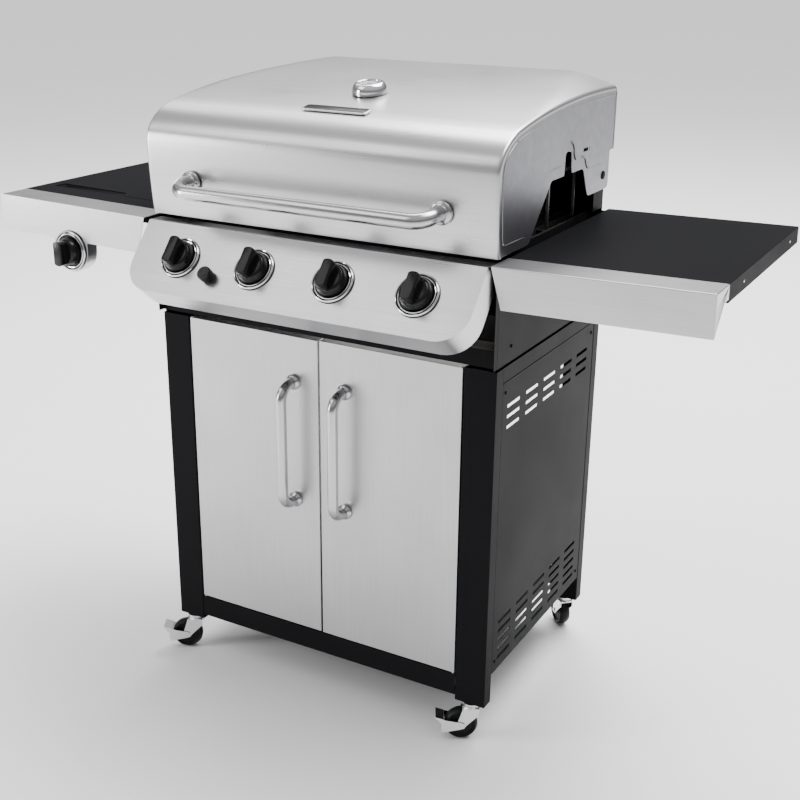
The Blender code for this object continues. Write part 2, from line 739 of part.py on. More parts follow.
def control_panel():
    piece = place_on_face(outline("control_panel", panel_outline(0, 0), -PANEL_WALL, 0, STAINLESS))
    inside = outline("inside", panel_outline(SHEET, SHEET), -PANEL_WALL - 0.01, -SHEET)
    cut(piece, place_on_face(inside))
    wide = PANEL_HALF + 0.01
    cut(piece, box("behind", (-wide, 0, PANEL_TOP.z - 0.2), (wide, 0.1, PANEL_TOP.z + 0.1)))
    join(piece, box(
        "ledge", (-PANEL_HALF, PANEL_TOP.y - BURY, PANEL_TOP.z - SHEET),
        (PANEL_HALF, -0.0005, PANEL_TOP.z + 0.0001),
    ))
    for x in BURNERS_X:
        cut(piece, place(turned("hole", disc(0.006, -0.02, 0.02), 12), on_face(x, KNOB_DOWN), OUT))
    cut(piece, place(turned("hole", disc(0.0088, -0.02, 0.02), 16), on_face(*IGNITER), OUT))


def place_on_face(piece):
    return moved(piece, FACE)


def knob(name, radius):
    """A round base with a grip bar across it, on a spindle."""
    piece = turned(name, [
        (0, 0.0195), (radius - 0.0045, 0.0195), (radius - 0.003, 0.018), (radius, 0.008),
        (radius, 0.0045), (0.004, 0.0045), (0.004, -0.034), (0, -0.034),
    ], 24, KNOB_PLASTIC)
    half, long = 0.0075, radius - 0.0035
    grip = rounded([
        (-half, -long, 0.003), (half, -long, 0.003), (half, long, 0.003), (-half, long, 0.003),
    ], 2)
    return join(piece, outline("grip", grip, 0.012, KNOB_HEIGHT))


def burner_knobs():
    bezel = [
        (0.006, 0.003), (BEZEL_RADIUS - 0.008, 0.003), (BEZEL_RADIUS - 0.006, 0.0055),
        (BEZEL_RADIUS - 0.0025, 0.0055), (BEZEL_RADIUS, 0.002), (BEZEL_RADIUS, GAP),
        (0.006, GAP), (0.006, 0.003),
    ]
    for number, x in enumerate(BURNERS_X, 1):
        place(turned(f"bezel_{number}", bezel, 28, CHROME), on_face(x, KNOB_DOWN), OUT)
        place(knob(f"knob_{number}", KNOB_RADIUS), on_face(x, KNOB_DOWN), OUT)


def igniter():
    piece = turned("igniter_button", [
        (0, 0.0195), (0.0105, 0.0185), (0.0125, 0.016), (0.0125, 0.0045), (0.0084, 0.0045),
        (0.0084, -0.012), (0, -0.012),
    ], 20, KNOB_PLASTIC)
    place(piece, on_face(*IGNITER), OUT)


def manifold():
    """The gas pipe behind the panel, with a valve behind each knob."""
    behind = -0.062
    half = HALF_BODY - 0.03
    piece = turned("manifold", disc(0.0085, -half, half), 12, ALUMINIUM)
    place(piece, on_face(0, KNOB_DOWN, behind), (1, 0, 0))
    for x in BURNERS_X:
        valve = box("valve", (x - 0.009, KNOB_DOWN - 0.011, behind - 0.002), (
            x + 0.009, KNOB_DOWN + 0.011, behind + 0.024,
        ))
        join(piece, place_on_face(valve))


# ---- hood -------------------------------------------------------------------------------
HOOD_FRONT = -0.019                  # front face of the hood at its shoulder
HOOD_BACK = DEPTH + 0.0157
HOOD_LEAN = 0.0083                   # how far its lower edge stands back
HOOD_DROP = 0.0217                   # how far the back corners droop
SHOULDER = (0.0464, HOOD_HEIGHT - 0.050)   # where the roof begins
CREST_Y = DEPTH - 0.0054


def hood_section():
    """The hood's middle section as (y, height over its lower edge), front to back."""
    top = HOOD_HEIGHT
    brow = (HOOD_FRONT, top - 0.1103)
    crest = (CREST_Y, top)
    rump = (HOOD_BACK - 0.0005, top - 0.0145)
    run = bend((HOOD_FRONT + HOOD_LEAN, 0), (HOOD_FRONT, 0.07), brow, 3)
    run += bend(brow, (HOOD_FRONT, top - 0.0709), SHOULDER, 6)[1:]
    run += bend(SHOULDER, (SHOULDER[0] + 0.2123, top - 0.0097), crest, 6)[1:]
    run += bend(crest, (HOOD_BACK - 0.0017, top + 0.0009), rump, 3)[1:]
    return run + [(HOOD_BACK, 0.1031)]


def droop(x, y):
    """How far the roof falls away near a rear corner."""
    reach = 0.94 - 0.24 * max(0.0, (y - 0.196) / 0.278)
    across = max(0.0, (abs(x) / HOOD_HALF - reach) / (1 - reach))
    along = min(1.0, max(0.0, (y - 0.10) / (CREST_Y - 0.10)))
    return HOOD_DROP * along ** 1.35 * across ** 2 * (1.6 - 0.6 * across)


def hood_run(x):
    """The hood's section at x, as (y, z) points."""
    roof = SHOULDER[1]
    return [
        (y, HOOD_Z + height - (droop(x, y) if height > roof else 0))
        for y, height in hood_section()
    ]


def hood_skin():
    """A sheet lofted across the hood's sections, denser towards its ends."""
    shares = [0, 0.70, 0.77, 0.82, 0.87, 0.91, 0.94, 0.965, 0.985, 1]
    shares = [-share for share in shares[:0:-1]] + shares
    shape = bmesh.new()
    rows = []
    for share in shares:
        x = share * HOOD_HALF
        rows.append([shape.verts.new((x, y, z)) for y, z in hood_run(x)])
    for left, right in zip(rows, rows[1:]):
        for i in range(len(left) - 1):
            shape.faces.new((left[i], right[i], right[i + 1], left[i + 1]))
    mesh = bpy.data.meshes.new("hood_skin")
    shape.to_mesh(mesh)
    shape.free()
    return solidify(add("hood_skin", mesh, STAINLESS), HOOD_SHEET)


def hood_ends():
    """Flat end plates inside the skin, cut away below so that they pass the rear wall."""
    outer = HOOD_HALF - 0.0008
    inner = outer - SHEET
    run = [Vector(point) for point in hood_run(inner)]
    clear = HOOD_SHEET + 0.0006
    edge = []
    for i, spot in enumerate(run[:-1]):
        along = (run[i + 1] - run[max(i - 1, 0)]).normalized()
        edge.append((spot.x + along.y * clear, spot.y - along.x * clear, 0))
    edge[0] = (edge[0][0], HOOD_Z + 0.0012, 0)
    back = HOOD_BACK - clear
    edge.append((back, HOOD_Z + 0.1051, 0))
    low = HOOD_Z + 0.0368
    raised = HOOD_Z + 0.0884
    slot = HOOD_Z + 0.1268
    rear = HINGE_Y + 0.028
    edge += [
        (rear, HOOD_Z + 0.1028, 0), (rear, low, 0.010), (HINGE_Y - 0.0722, low, 0.014),
        (HINGE_Y - 0.0992, raised, 0.012), (HINGE_Y - 0.1522, raised, 0.004),
        (HINGE_Y - 0.1572, slot, 0.007), (HINGE_Y - 0.1822, slot, 0.007),
        (HINGE_Y - 0.1842, raised, 0.004), (HINGE_Y - 0.2382, raised, 0.012),
        (HINGE_Y - 0.3208, HOOD_Z + 0.0012, 0.012),
    ]
    points = rounded(edge, 3)
    for side, sign in SIDES.items():
        x0, x1 = sorted((sign * inner, sign * outer))
        piece = sideways(f"hood_end_{side}", points, x0, x1, GREY_STEEL)
        bore = turned("bore", disc(0.0042, -0.03, 0.03), 20)
        cut(piece, place(bore, (sign * outer, HINGE_Y, HINGE_Z), (1, 0, 0)))
        vent = HINGE_Y - 0.0882
        z = HOOD_Z + 0.1196
        cut(piece, box(
            "vent", (x0 - 0.01, vent - 0.0143, z - 0.003), (x1 + 0.01, vent + 0.0143, z + 0.003),
        ))
        yield piece


def sideways(name, points, start, end, finish=None):
    """An outline in YZ made solid from x = start to x = end."""
    piece = outline(name, points, start, end, finish)
    return moved(piece, Matrix(((0, 0, 1), (1, 0, 0), (0, 1, 0))).to_4x4())


def hood_handle():
    """A bent tube on two round feet."""
    half, z = 0.2375, HOOD_Z + 0.0629
    foot = min(y for y, _ in hood_section()) + BURY * 2
    off, corner, sink = -0.0715, 0.030, 0.007
    points, radii = [], []
    for sign in (-1, 1):
        run = [(sign * half, foot - deep, z) for deep in (0.0006, 0.004, 0.0065)]
        for k in range(7):
            turn = math.radians(15 * k)
            run.append((
                sign * (half - corner * (1 - math.cos(turn))),
                off + corner * (1 - math.sin(turn)),
                z - sink * math.sin(turn),
            ))
        sizes = [0.019, 0.019] + [HANDLE_TUBE] * (len(run) - 2)
        if sign > 0:
            run.reverse()
            sizes.reverse()
        points += run
        radii += sizes
    return tube("hood_handle", points, radii, SATIN_STEEL)


def on_roof(y):
    """A point on the middle of the roof and the direction it faces."""
    run = hood_run(0)
    for (y0, z0), (y1, z1) in zip(run, run[1:]):
        if y0 <= y <= y1 and y1 > y0:
            share = (y - y0) / (y1 - y0)
            return Vector((0, y, z0 + share * (z1 - z0))), Vector((0, z0 - z1, y1 - y0)).normalized()


def thermometer():
    piece = turned("thermometer", [
        (0, 0.0185), (0.0195, 0.0175), (0.0205, 0.0195), (0.0225, 0.0195), (0.0262, 0.0165),
        (0.0295, 0.010), (0.0302, 0.004), (0.0295, 0.0009), (0, 0.0009),
    ], 28, CHROME)
    spot, facing = on_roof(0.170)
    return place(piece, spot, facing)


def name_plate():
    """A blank badge on the shoulder of the hood."""
    half, deep, corner = 0.061, 0.0125, 0.006
    shape = rounded([
        (-half, -deep, corner), (half, -deep, corner), (half, deep, corner), (-half, deep, corner),
    ], 3)
    piece = outline("name_plate", shape, 0.0014, 0.0054, KNOB_PLASTIC)
    spot, facing = on_roof(0.063)
    aim = Matrix((Vector((1, 0, 0)), facing.cross(Vector((1, 0, 0))), facing)).transposed()
    piece.matrix_world = Matrix.Translation(spot) @ aim.to_4x4()
    return piece


def hood():
    pieces = [hood_skin(), *hood_ends(), hood_handle(), thermometer(), name_plate()]
    pivot("hood_hinge", pieces, (0, HINGE_Y, HINGE_Z))


# ---- side shelves -----------------------------------------------------------------------
OUTER_DROP = 0.0225                                  # height of a shelf front's end face
SHELF_END = HALF_BODY + (HALF_WIDTH - HALF_BODY - RAIL_HEIGHT * math.sin(TILT)) / math.cos(TILT)
DECK_INNER = HALF_BODY + 0.0009
DECK_HEIGHT = 0.028
WELL_LEFT = 0.0255 - HALF_WIDTH                      # recess for the burner's lid
WELL_RIGHT = -HALF_BODY - 0.0155
RECESS_FRONT = SHELF_SEAM + 0.052
RECESS_BACK = SHELF_BACK - LID_REAR
LID_TOP = SHELF_Z + GAP
LID_AXIS_Y = RECESS_BACK - 0.003
PAN_X = (WELL_LEFT + 0.010, WELL_RIGHT - 0.010)      # outside of the well
PAN_Y = (RECESS_FRONT + 0.036, RECESS_BACK - 0.010)
WELL_MIDDLE = (sum(PAN_X) / 2, sum(PAN_Y) / 2)


def shelf_front(side, sign):
    """A steel channel: top flange, front, and a short face round the outer end."""
    thick = 0.0012
    low = SHELF_Z - RAIL_HEIGHT
    x0, x1 = sorted((sign * (HALF_BODY - 0.002), sign * SHELF_END))
    piece = shell(
        f"shelf_front_{side}", (x0, SHELF_FRONT, low), (x1, SHELF_SEAM - GAP, SHELF_Z),
        (-UP, (0, 1, 0), (-sign, 0, 0)), thick, STAINLESS,
    )
    x0, x1 = sorted((sign * (SHELF_END - 0.01), sign * (SHELF_END + 0.01)))
    cut(piece, box(
        "end_trim", (x0, SHELF_FRONT + thick + BURY, low - 0.01),
        (x1, SHELF_SEAM + 0.01, SHELF_Z - OUTER_DROP),
    ))
    inner = [
        (sign * (HALF_BODY - 0.03), SHELF_Z + 0.01), (sign * (HALF_BODY + 0.0004), SHELF_Z + 0.01),
        (sign * (HALF_BODY + 0.0004), SHELF_Z), (sign * (HALF_BODY + 0.0175), low),
        (sign * (HALF_BODY + 0.0175), low - 0.01), (sign * (HALF_BODY - 0.03), low - 0.01),
    ]
    return cut(piece, upright("inner_trim", inner, SHELF_FRONT - 0.01, SHELF_SEAM + 0.01))


def knob_tab(piece):
    """Joins the cup that hangs below the left shelf front and carries the burner's knob."""
    def cup(radius, top):
        bottom = arc((SIDE_KNOB_X, SIDE_KNOB_Z), radius, 180, 360, 12)
        return [(SIDE_KNOB_X - radius, top)] + bottom + [(SIDE_KNOB_X + radius, top)]
    low = SHELF_Z - RAIL_HEIGHT
    front = SHELF_FRONT - 0.0006
    outside = upright("tab", cup(CUP_RADIUS, low + 0.004), front, SHELF_FRONT + 0.024)
    inside = cup(CUP_RADIUS - SHEET, low + 0.010)
    join(piece, outside)
    hollow = upright("cup", inside, SHELF_FRONT + 0.0013, SHELF_FRONT + 0.05)
    cut(piece, hollow)
    hole = turned("hole", disc(0.006, -0.02, 0.02), 12)
    return cut(piece, place(hole, (SIDE_KNOB_X, SHELF_FRONT, SIDE_KNOB_Z), (0, -1, 0)))


def deck(side, sign):
    """A folded sheet, open below."""
    x0, x1 = sorted((sign * DECK_INNER, sign * SHELF_END))
    return shell(
        f"shelf_deck_{side}", (x0, SHELF_SEAM, SHELF_Z - DECK_HEIGHT), (x1, SHELF_BACK, SHELF_Z),
        (-UP,), SHEET, BLACK_PAINT,
    )


def burner_well(piece):
    """Sinks a ledge for the lid and a well for the burner into the left deck."""
    slack = 0.0005
    x0, x1 = WELL_LEFT - slack, WELL_RIGHT + slack
    y0, y1 = RECESS_FRONT - slack, RECESS_BACK + slack
    cut(piece, box("recess", (x0, y0, SHELF_Z - 0.01), (x1, y1, SHELF_Z + 0.01)))
    rim = 0.004
    top = SHELF_Z - SHEET + BURY
    join(piece, box("ledge", (x0 - rim, y0 - rim, top - 0.0021), (x1 + rim, y1 + rim, top)))
    well = shell(
        "well", (PAN_X[0], PAN_Y[0], WELL_Z), (PAN_X[1], PAN_Y[1], top - 0.0012), (UP,), SHEET,
    )
    join(piece, well)
    wall = SHEET + BURY
    cut(piece, box(
        "mouth", (PAN_X[0] + wall, PAN_Y[0] + wall, WELL_Z + SHEET + 0.004),
        (PAN_X[1] - wall, PAN_Y[1] - wall, SHELF_Z + 0.01),
    ))
    cut(piece, box(
        "lid_seat", (x0 + BURY, y0 + BURY, SHELF_Z - 0.0021), (x1 - BURY, y1 - BURY, SHELF_Z + 0.01),
    ))
    return piece


def burner_lid():
    """A flat lid whose front edge steps back over its outer half."""
    step_y = SHELF_SEAM + 0.0765
    step_x = 0.185 - HALF_WIDTH
    x0, x1 = WELL_LEFT + 0.0005, WELL_RIGHT - 0.0005
    back, front = RECESS_BACK - 0.0018, RECESS_FRONT + 0.0008
    points = [(x0, step_y), (step_x - 0.006, step_y), (step_x + 0.010, front), (x1, front)]
    points += [(x1, back), (x0, back)]
    piece = outline("side_lid", points, SHELF_Z - 0.0012, LID_TOP, BLACK_PAINT)
    return pivot("burner_lid_hinge", [piece], ((x0 + x1) / 2, LID_AXIS_Y, LID_TOP))


def side_burner():
    piece = turned("side_burner", [
        (0, 0.026), (0.036, 0.026), (0.043, 0.022), (0.043, 0.014), (0.024, 0.012), (0.024, 0), (0, 0),
    ], 24, BRASS)
    return place(piece, (*WELL_MIDDLE, WELL_Z + SHEET + GAP))


def side_grate():
    """A square pan support with four bars and four feet."""
    x, y = WELL_MIDDLE
    bar, rise, high = 0.006, 0.034, 0.006
    half_x = (PAN_X[1] - PAN_X[0]) / 2 - 0.0025
    half_y = (PAN_Y[1] - PAN_Y[0]) / 2 - 0.0025
    low, top = WELL_Z + rise, WELL_Z + rise + high
    piece = shell(
        "side_grate", (x - half_x, y - half_y, low), (x + half_x, y + half_y, top), (UP, -UP), bar,
        CAST_IRON,
    )
    for offset in (-0.052, 0, 0.052):
        join(piece, box(
            "bar", (x + offset - bar / 2, y + BURY * 2 - half_y, low + BURY),
            (x + offset + bar / 2, y + half_y - BURY * 2, top - BURY),
        ))
    join(piece, box(
        "cross", (x + BURY * 2 - half_x, y - bar / 2, low + BURY * 2),
        (x + half_x - BURY * 2, y + bar / 2, top - BURY * 2),
    ))
    for sign_x in (-1, 1):
        for sign_y in (-1, 1):
            xs = sorted((x + sign_x * (half_x - BURY), x + sign_x * (half_x - bar + BURY)))
            ys = sorted((y + sign_y * (half_y - BURY), y + sign_y * (half_y - bar + BURY)))
            join(piece, box(
                "foot", (xs[0], ys[0], WELL_Z + SHEET + GAP), (xs[1], ys[1], top - high / 2),
            ))
    return piece


def shelves():
    for side, sign in SIDES.items():
        pieces = [shelf_front(side, sign), deck(side, sign)]
        if side == "left":
            knob_tab(pieces[0])
            burner_well(pieces[1])
            side_knob = knob("side_knob", KNOB_RADIUS - 0.002)
            place(side_knob, (SIDE_KNOB_X, SHELF_FRONT - 0.0006, SIDE_KNOB_Z), (0, -1, 0))
            pieces += [side_knob, burner_lid(), side_burner(), side_grate()]
        tilt = pivot(f"{side}_shelf", pieces, (sign * HALF_BODY, 0, SHELF_Z))
        tilt.rotation_euler.y = -sign * TILT


# ---- assembly ---------------------------------------------------------------------------
def centre_footprint():
    """Hangs everything on one empty, and moves it until its depth is centred."""
    everything = [piece for piece in PARTS.objects if piece.parent is None]
    root = pivot("grill", everything, (0, 0, 0))
    bpy.context.view_layer.update()
    graph = bpy.context.evaluated_depsgraph_get()
    depths = []
    for piece in PARTS.objects:
        if piece.type == "EMPTY":
            continue
        evaluated = piece.evaluated_get(graph)
        mesh = evaluated.to_mesh()
        depths += [(evaluated.matrix_world @ vertex.co).y for vertex in mesh.vertices]
        evaluated.to_mesh_clear()
    root.location.y = -(min(depths) + max(depths)) / 2


posts()
bottom_rail()
floor_shelf()
side_panels()
head_frame()
drip_tray()
firebox()
burners()
heat_plate()
grates()
warming_rack()
rear_wall()
doors()
casters()
control_panel()
burner_knobs()
igniter()
manifold()
hood()
shelves()
centre_footprint()
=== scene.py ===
"""Looks of a cabinet gas barbecue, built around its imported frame.

Metres, +Z up, front towards -Y. Each operator makes one group of pieces in place of the
frame's plain solids, with procedural materials, and one more makes the studio.
"""
import json
import math

import bmesh
import bpy
from bpy.props import FloatProperty, FloatVectorProperty, PointerProperty
from mathutils import Matrix, Vector


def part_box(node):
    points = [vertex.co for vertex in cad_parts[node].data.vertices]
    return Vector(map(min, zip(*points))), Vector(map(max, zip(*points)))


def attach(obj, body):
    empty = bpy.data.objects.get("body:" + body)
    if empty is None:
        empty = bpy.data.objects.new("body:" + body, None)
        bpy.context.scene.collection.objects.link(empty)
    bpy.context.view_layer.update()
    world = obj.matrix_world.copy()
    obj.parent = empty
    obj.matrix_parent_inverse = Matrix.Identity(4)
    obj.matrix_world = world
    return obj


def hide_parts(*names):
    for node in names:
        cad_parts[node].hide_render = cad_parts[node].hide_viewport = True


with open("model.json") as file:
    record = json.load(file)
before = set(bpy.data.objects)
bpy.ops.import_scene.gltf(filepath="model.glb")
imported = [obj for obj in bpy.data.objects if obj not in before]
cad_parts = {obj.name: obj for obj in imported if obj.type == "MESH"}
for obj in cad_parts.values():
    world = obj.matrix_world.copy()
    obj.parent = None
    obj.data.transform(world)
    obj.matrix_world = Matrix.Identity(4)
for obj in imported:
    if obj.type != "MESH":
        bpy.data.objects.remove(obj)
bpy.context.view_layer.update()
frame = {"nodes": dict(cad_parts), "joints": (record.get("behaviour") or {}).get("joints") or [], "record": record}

bl_info = {
    "name": "Cabinet Gas Barbecue",
    "version": (1, 0, 0),
    "blender": (4, 5, 0),
    "location": "3D Viewport > Sidebar > Barbecue",
    "description": "Dresses the frame of a four-burner gas barbecue in steel, enamel and plastic",
    "category": "Object",
}

# ---- places read from the frame -----------------------------------------------------------
LOW, HIGH = 0, 1
DOOR_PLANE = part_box("post_front_left")[LOW].y
SKIN_LOW, SKIN_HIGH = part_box("hood_skin")
SHELF_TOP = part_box("shelf_deck_right")[LOW].z + 0.028
PANEL_LOW, PANEL_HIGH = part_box("control_panel")
JOINTS = {joint["name"]: joint for joint in frame["joints"]}
BODY_OF = {
    node: body for body, nodes in frame["record"]["behaviour"]["bodies"].items() for node in nodes
}
SLOT_OF = {part["node"]: part["material_slot"] for part in frame["record"]["subparts"]}
SIDES = {"left": -1, "right": 1}
BURNERS = (1, 2, 3, 4)
SWIVELS = ("front_left", "front_right", "rear_left", "rear_right")


def joint_place(name):
    return Vector(JOINTS[name]["pos_m"])


def joint_axis(name):
    return Vector(JOINTS[name]["axis"]).normalized()


# ---- settings -----------------------------------------------------------------------------
class BarbecueFinishes(bpy.types.PropertyGroup):
    """Colours of the barbecue's materials"""

    steel: FloatVectorProperty(
        name="Stainless", description="Colour of the brushed sheets", subtype="COLOR",
        default=(0.57, 0.57, 0.58), min=0, max=1,
    )
    hood_end: FloatVectorProperty(
        name="Hood ends", description="Colour of the hood's end plates", subtype="COLOR",
        default=(0.30, 0.30, 0.325), min=0, max=1,
    )
    paint: FloatVectorProperty(
        name="Black paint", description="Colour of the powder coat", subtype="COLOR",
        default=(0.0075, 0.0075, 0.0085), min=0, max=1,
    )
    plastic: FloatVectorProperty(
        name="Knobs", description="Colour of the knobs", subtype="COLOR",
        default=(0.006, 0.006, 0.0065), min=0, max=1,
    )


class BarbecueSizes(bpy.types.PropertyGroup):
    """Sizes of the details that the frame leaves plain"""

    fold: FloatProperty(
        name="Fold radius", description="Rounding of the steel's folded edges", unit="LENGTH",
        default=0.0022, min=0.0005, max=0.004,
    )
    hem: FloatProperty(
        name="Hood hem", description="Rounding of the hood's ends", unit="LENGTH",
        default=0.0045, min=0.002, max=0.008,
    )
    edge: FloatProperty(
        name="Sheet edge", description="Rounding of cut sheet edges", unit="LENGTH",
        default=0.0004, min=0.0001, max=0.0007,
    )
    screw: FloatProperty(
        name="Screw head", description="Radius of the screw heads", unit="LENGTH",
        default=0.0042, min=0.002, max=0.006,
    )


# ---- shader groups ------------------------------------------------------------------------
def group(name, inputs, outputs):
    """An empty shader group with named sockets, and its input and output nodes."""
    tree = bpy.data.node_groups.new(name, "ShaderNodeTree")
    for label, kind, value in inputs:
        socket = tree.interface.new_socket(label, in_out="INPUT", socket_type=kind)
        socket.default_value = value
    for label, kind in outputs:
        tree.interface.new_socket(label, in_out="OUTPUT", socket_type=kind)
    return tree, tree.nodes.new("NodeGroupInput"), tree.nodes.new("NodeGroupOutput")


def noise(tree, vector, scale, detail, roughness):
    made = tree.nodes.new("ShaderNodeTexNoise")
    made.inputs["Scale"].default_value = scale
    made.inputs["Detail"].default_value = detail
    made.inputs["Roughness"].default_value = roughness
    tree.links.new(vector, made.inputs["Vector"])
    return made.outputs["Fac"]


def brushing_group():
    """Fine streaks along one direction, and the slow cloudiness of a rolled sheet."""
    tree, given, result = group(
        "brushing",
        [("Vector", "NodeSocketVector", (0, 0, 0)), ("Grain", "NodeSocketVector", (8, 900, 900))],
        [("Streak", "NodeSocketFloat"), ("Cloud", "NodeSocketFloat")],
    )
    stretch = tree.nodes.new("ShaderNodeVectorMath")
    stretch.operation = "MULTIPLY"
    tree.links.new(given.outputs["Vector"], stretch.inputs[0])
    tree.links.new(given.outputs["Grain"], stretch.inputs[1])
    tree.links.new(noise(tree, stretch.outputs[0], 1.0, 4, 0.62), result.inputs["Streak"])
    tree.links.new(noise(tree, given.outputs["Vector"], 7.0, 3, 0.5), result.inputs["Cloud"])
    return tree


def pebble_group():
    """The fine orange peel of powder coat or enamel, with a slow change of tone."""
    tree, given, result = group(
        "pebble",
        [("Vector", "NodeSocketVector", (0, 0, 0)), ("Size", "NodeSocketFloat", 900.0)],
        [("Height", "NodeSocketFloat"), ("Tone", "NodeSocketFloat")],
    )
    grow = tree.nodes.new("ShaderNodeVectorMath")
    grow.operation = "SCALE"
    tree.links.new(given.outputs["Vector"], grow.inputs[0])
    tree.links.new(given.outputs["Size"], grow.inputs["Scale"])
    tree.links.new(noise(tree, grow.outputs[0], 1.0, 3, 0.5), result.inputs["Height"])
    tree.links.new(noise(tree, given.outputs["Vector"], 5.0, 4, 0.55), result.inputs["Tone"])
    return tree


BRUSHING = brushing_group()
PEBBLE = pebble_group()


# ---- materials ----------------------------------------------------------------------------
def shader(name):
    made = bpy.data.materials.new(name)
    made.use_nodes = True
    tree = made.node_tree
    place = tree.nodes.new("ShaderNodeTexCoord").outputs["Object"]
    return made, tree, tree.nodes["Principled BSDF"], place


def ranged(tree, value, low, high):
    """A 0 to 1 value spread between two numbers."""
    spread = tree.nodes.new("ShaderNodeMapRange")
    spread.inputs["From Min"].default_value = 0.3
    spread.inputs["From Max"].default_value = 0.7
    spread.inputs["To Min"].default_value = low
    spread.inputs["To Max"].default_value = high
    tree.links.new(value, spread.inputs["Value"])
    return spread.outputs["Result"]


def tinted(tree, value, dark, light):
    mix = tree.nodes.new("ShaderNodeMix")
    mix.data_type = "RGBA"
    mix.inputs[6].default_value = (*dark, 1)
    mix.inputs[7].default_value = (*light, 1)
    tree.links.new(value, mix.inputs[0])
    return mix.outputs[2]


def bumped(tree, surface, height, strength, distance):
    bump = tree.nodes.new("ShaderNodeBump")
    bump.inputs["Strength"].default_value = strength
    bump.inputs["Distance"].default_value = distance
    tree.links.new(height, bump.inputs["Height"])
    tree.links.new(bump.outputs["Normal"], surface.inputs["Normal"])


def scaled(colour, share):
    return tuple(min(1.0, part * share) for part in colour)


def brushed_metal(name, colour, grain, rough, contrast=0.10, depth=0.00004):
    """Steel with streaks along the axis that has the smallest number in grain."""
    made, tree, surface, place = shader(name)
    streaks = tree.nodes.new("ShaderNodeGroup")
    streaks.node_tree = BRUSHING
    streaks.inputs["Grain"].default_value = grain
    tree.links.new(place, streaks.inputs["Vector"])
    blend = tree.nodes.new("ShaderNodeMath")
    blend.operation = "MULTIPLY_ADD"
    blend.inputs[1].default_value = 0.65
    tree.links.new(streaks.outputs["Streak"], blend.inputs[0])
    third = tree.nodes.new("ShaderNodeMath")
    third.operation = "MULTIPLY"
    third.inputs[1].default_value = 0.35
    tree.links.new(streaks.outputs["Cloud"], third.inputs[0])
    tree.links.new(third.outputs[0], blend.inputs[2])
    level = ranged(tree, blend.outputs[0], 0.0, 1.0)
    tone = tinted(tree, level, scaled(colour, 1 - contrast), scaled(colour, 1 + contrast))
    tree.links.new(tone, surface.inputs["Base Color"])
    sheen = ranged(tree, blend.outputs[0], rough + 0.05, rough - 0.05)
    tree.links.new(sheen, surface.inputs["Roughness"])
    surface.inputs["Metallic"].default_value = 1.0
    bumped(tree, surface, streaks.outputs["Streak"], 0.25, depth)
    return made


def coated(name, colour, rough, size, depth, metallic=0.0, coat=0.0, gloss=0.5):
    """Paint, enamel, plastic or bare casting, with its own fine surface."""
    made, tree, surface, place = shader(name)
    peel = tree.nodes.new("ShaderNodeGroup")
    peel.node_tree = PEBBLE
    peel.inputs["Size"].default_value = size
    tree.links.new(place, peel.inputs["Vector"])
    tone = tinted(tree, peel.outputs["Tone"], scaled(colour, 0.8), scaled(colour, 1.25))
    tree.links.new(tone, surface.inputs["Base Color"])
    sheen = ranged(tree, peel.outputs["Tone"], rough - 0.04, rough + 0.05)
    tree.links.new(sheen, surface.inputs["Roughness"])
    surface.inputs["Metallic"].default_value = metallic
    surface.inputs["Coat Weight"].default_value = coat
    surface.inputs["Specular IOR Level"].default_value = gloss
    surface.inputs["Coat Roughness"].default_value = 0.08
    bumped(tree, surface, peel.outputs["Height"], 0.3, depth)
    return made


def lens_glass(name):
    made, tree, surface, place = shader(name)
    smear = ranged(tree, noise(tree, place, 60.0, 3, 0.5), 0.01, 0.05)
    tree.links.new(smear, surface.inputs["Roughness"])
    surface.inputs["Transmission Weight"].default_value = 1.0
    surface.inputs["IOR"].default_value = 1.12
    return made


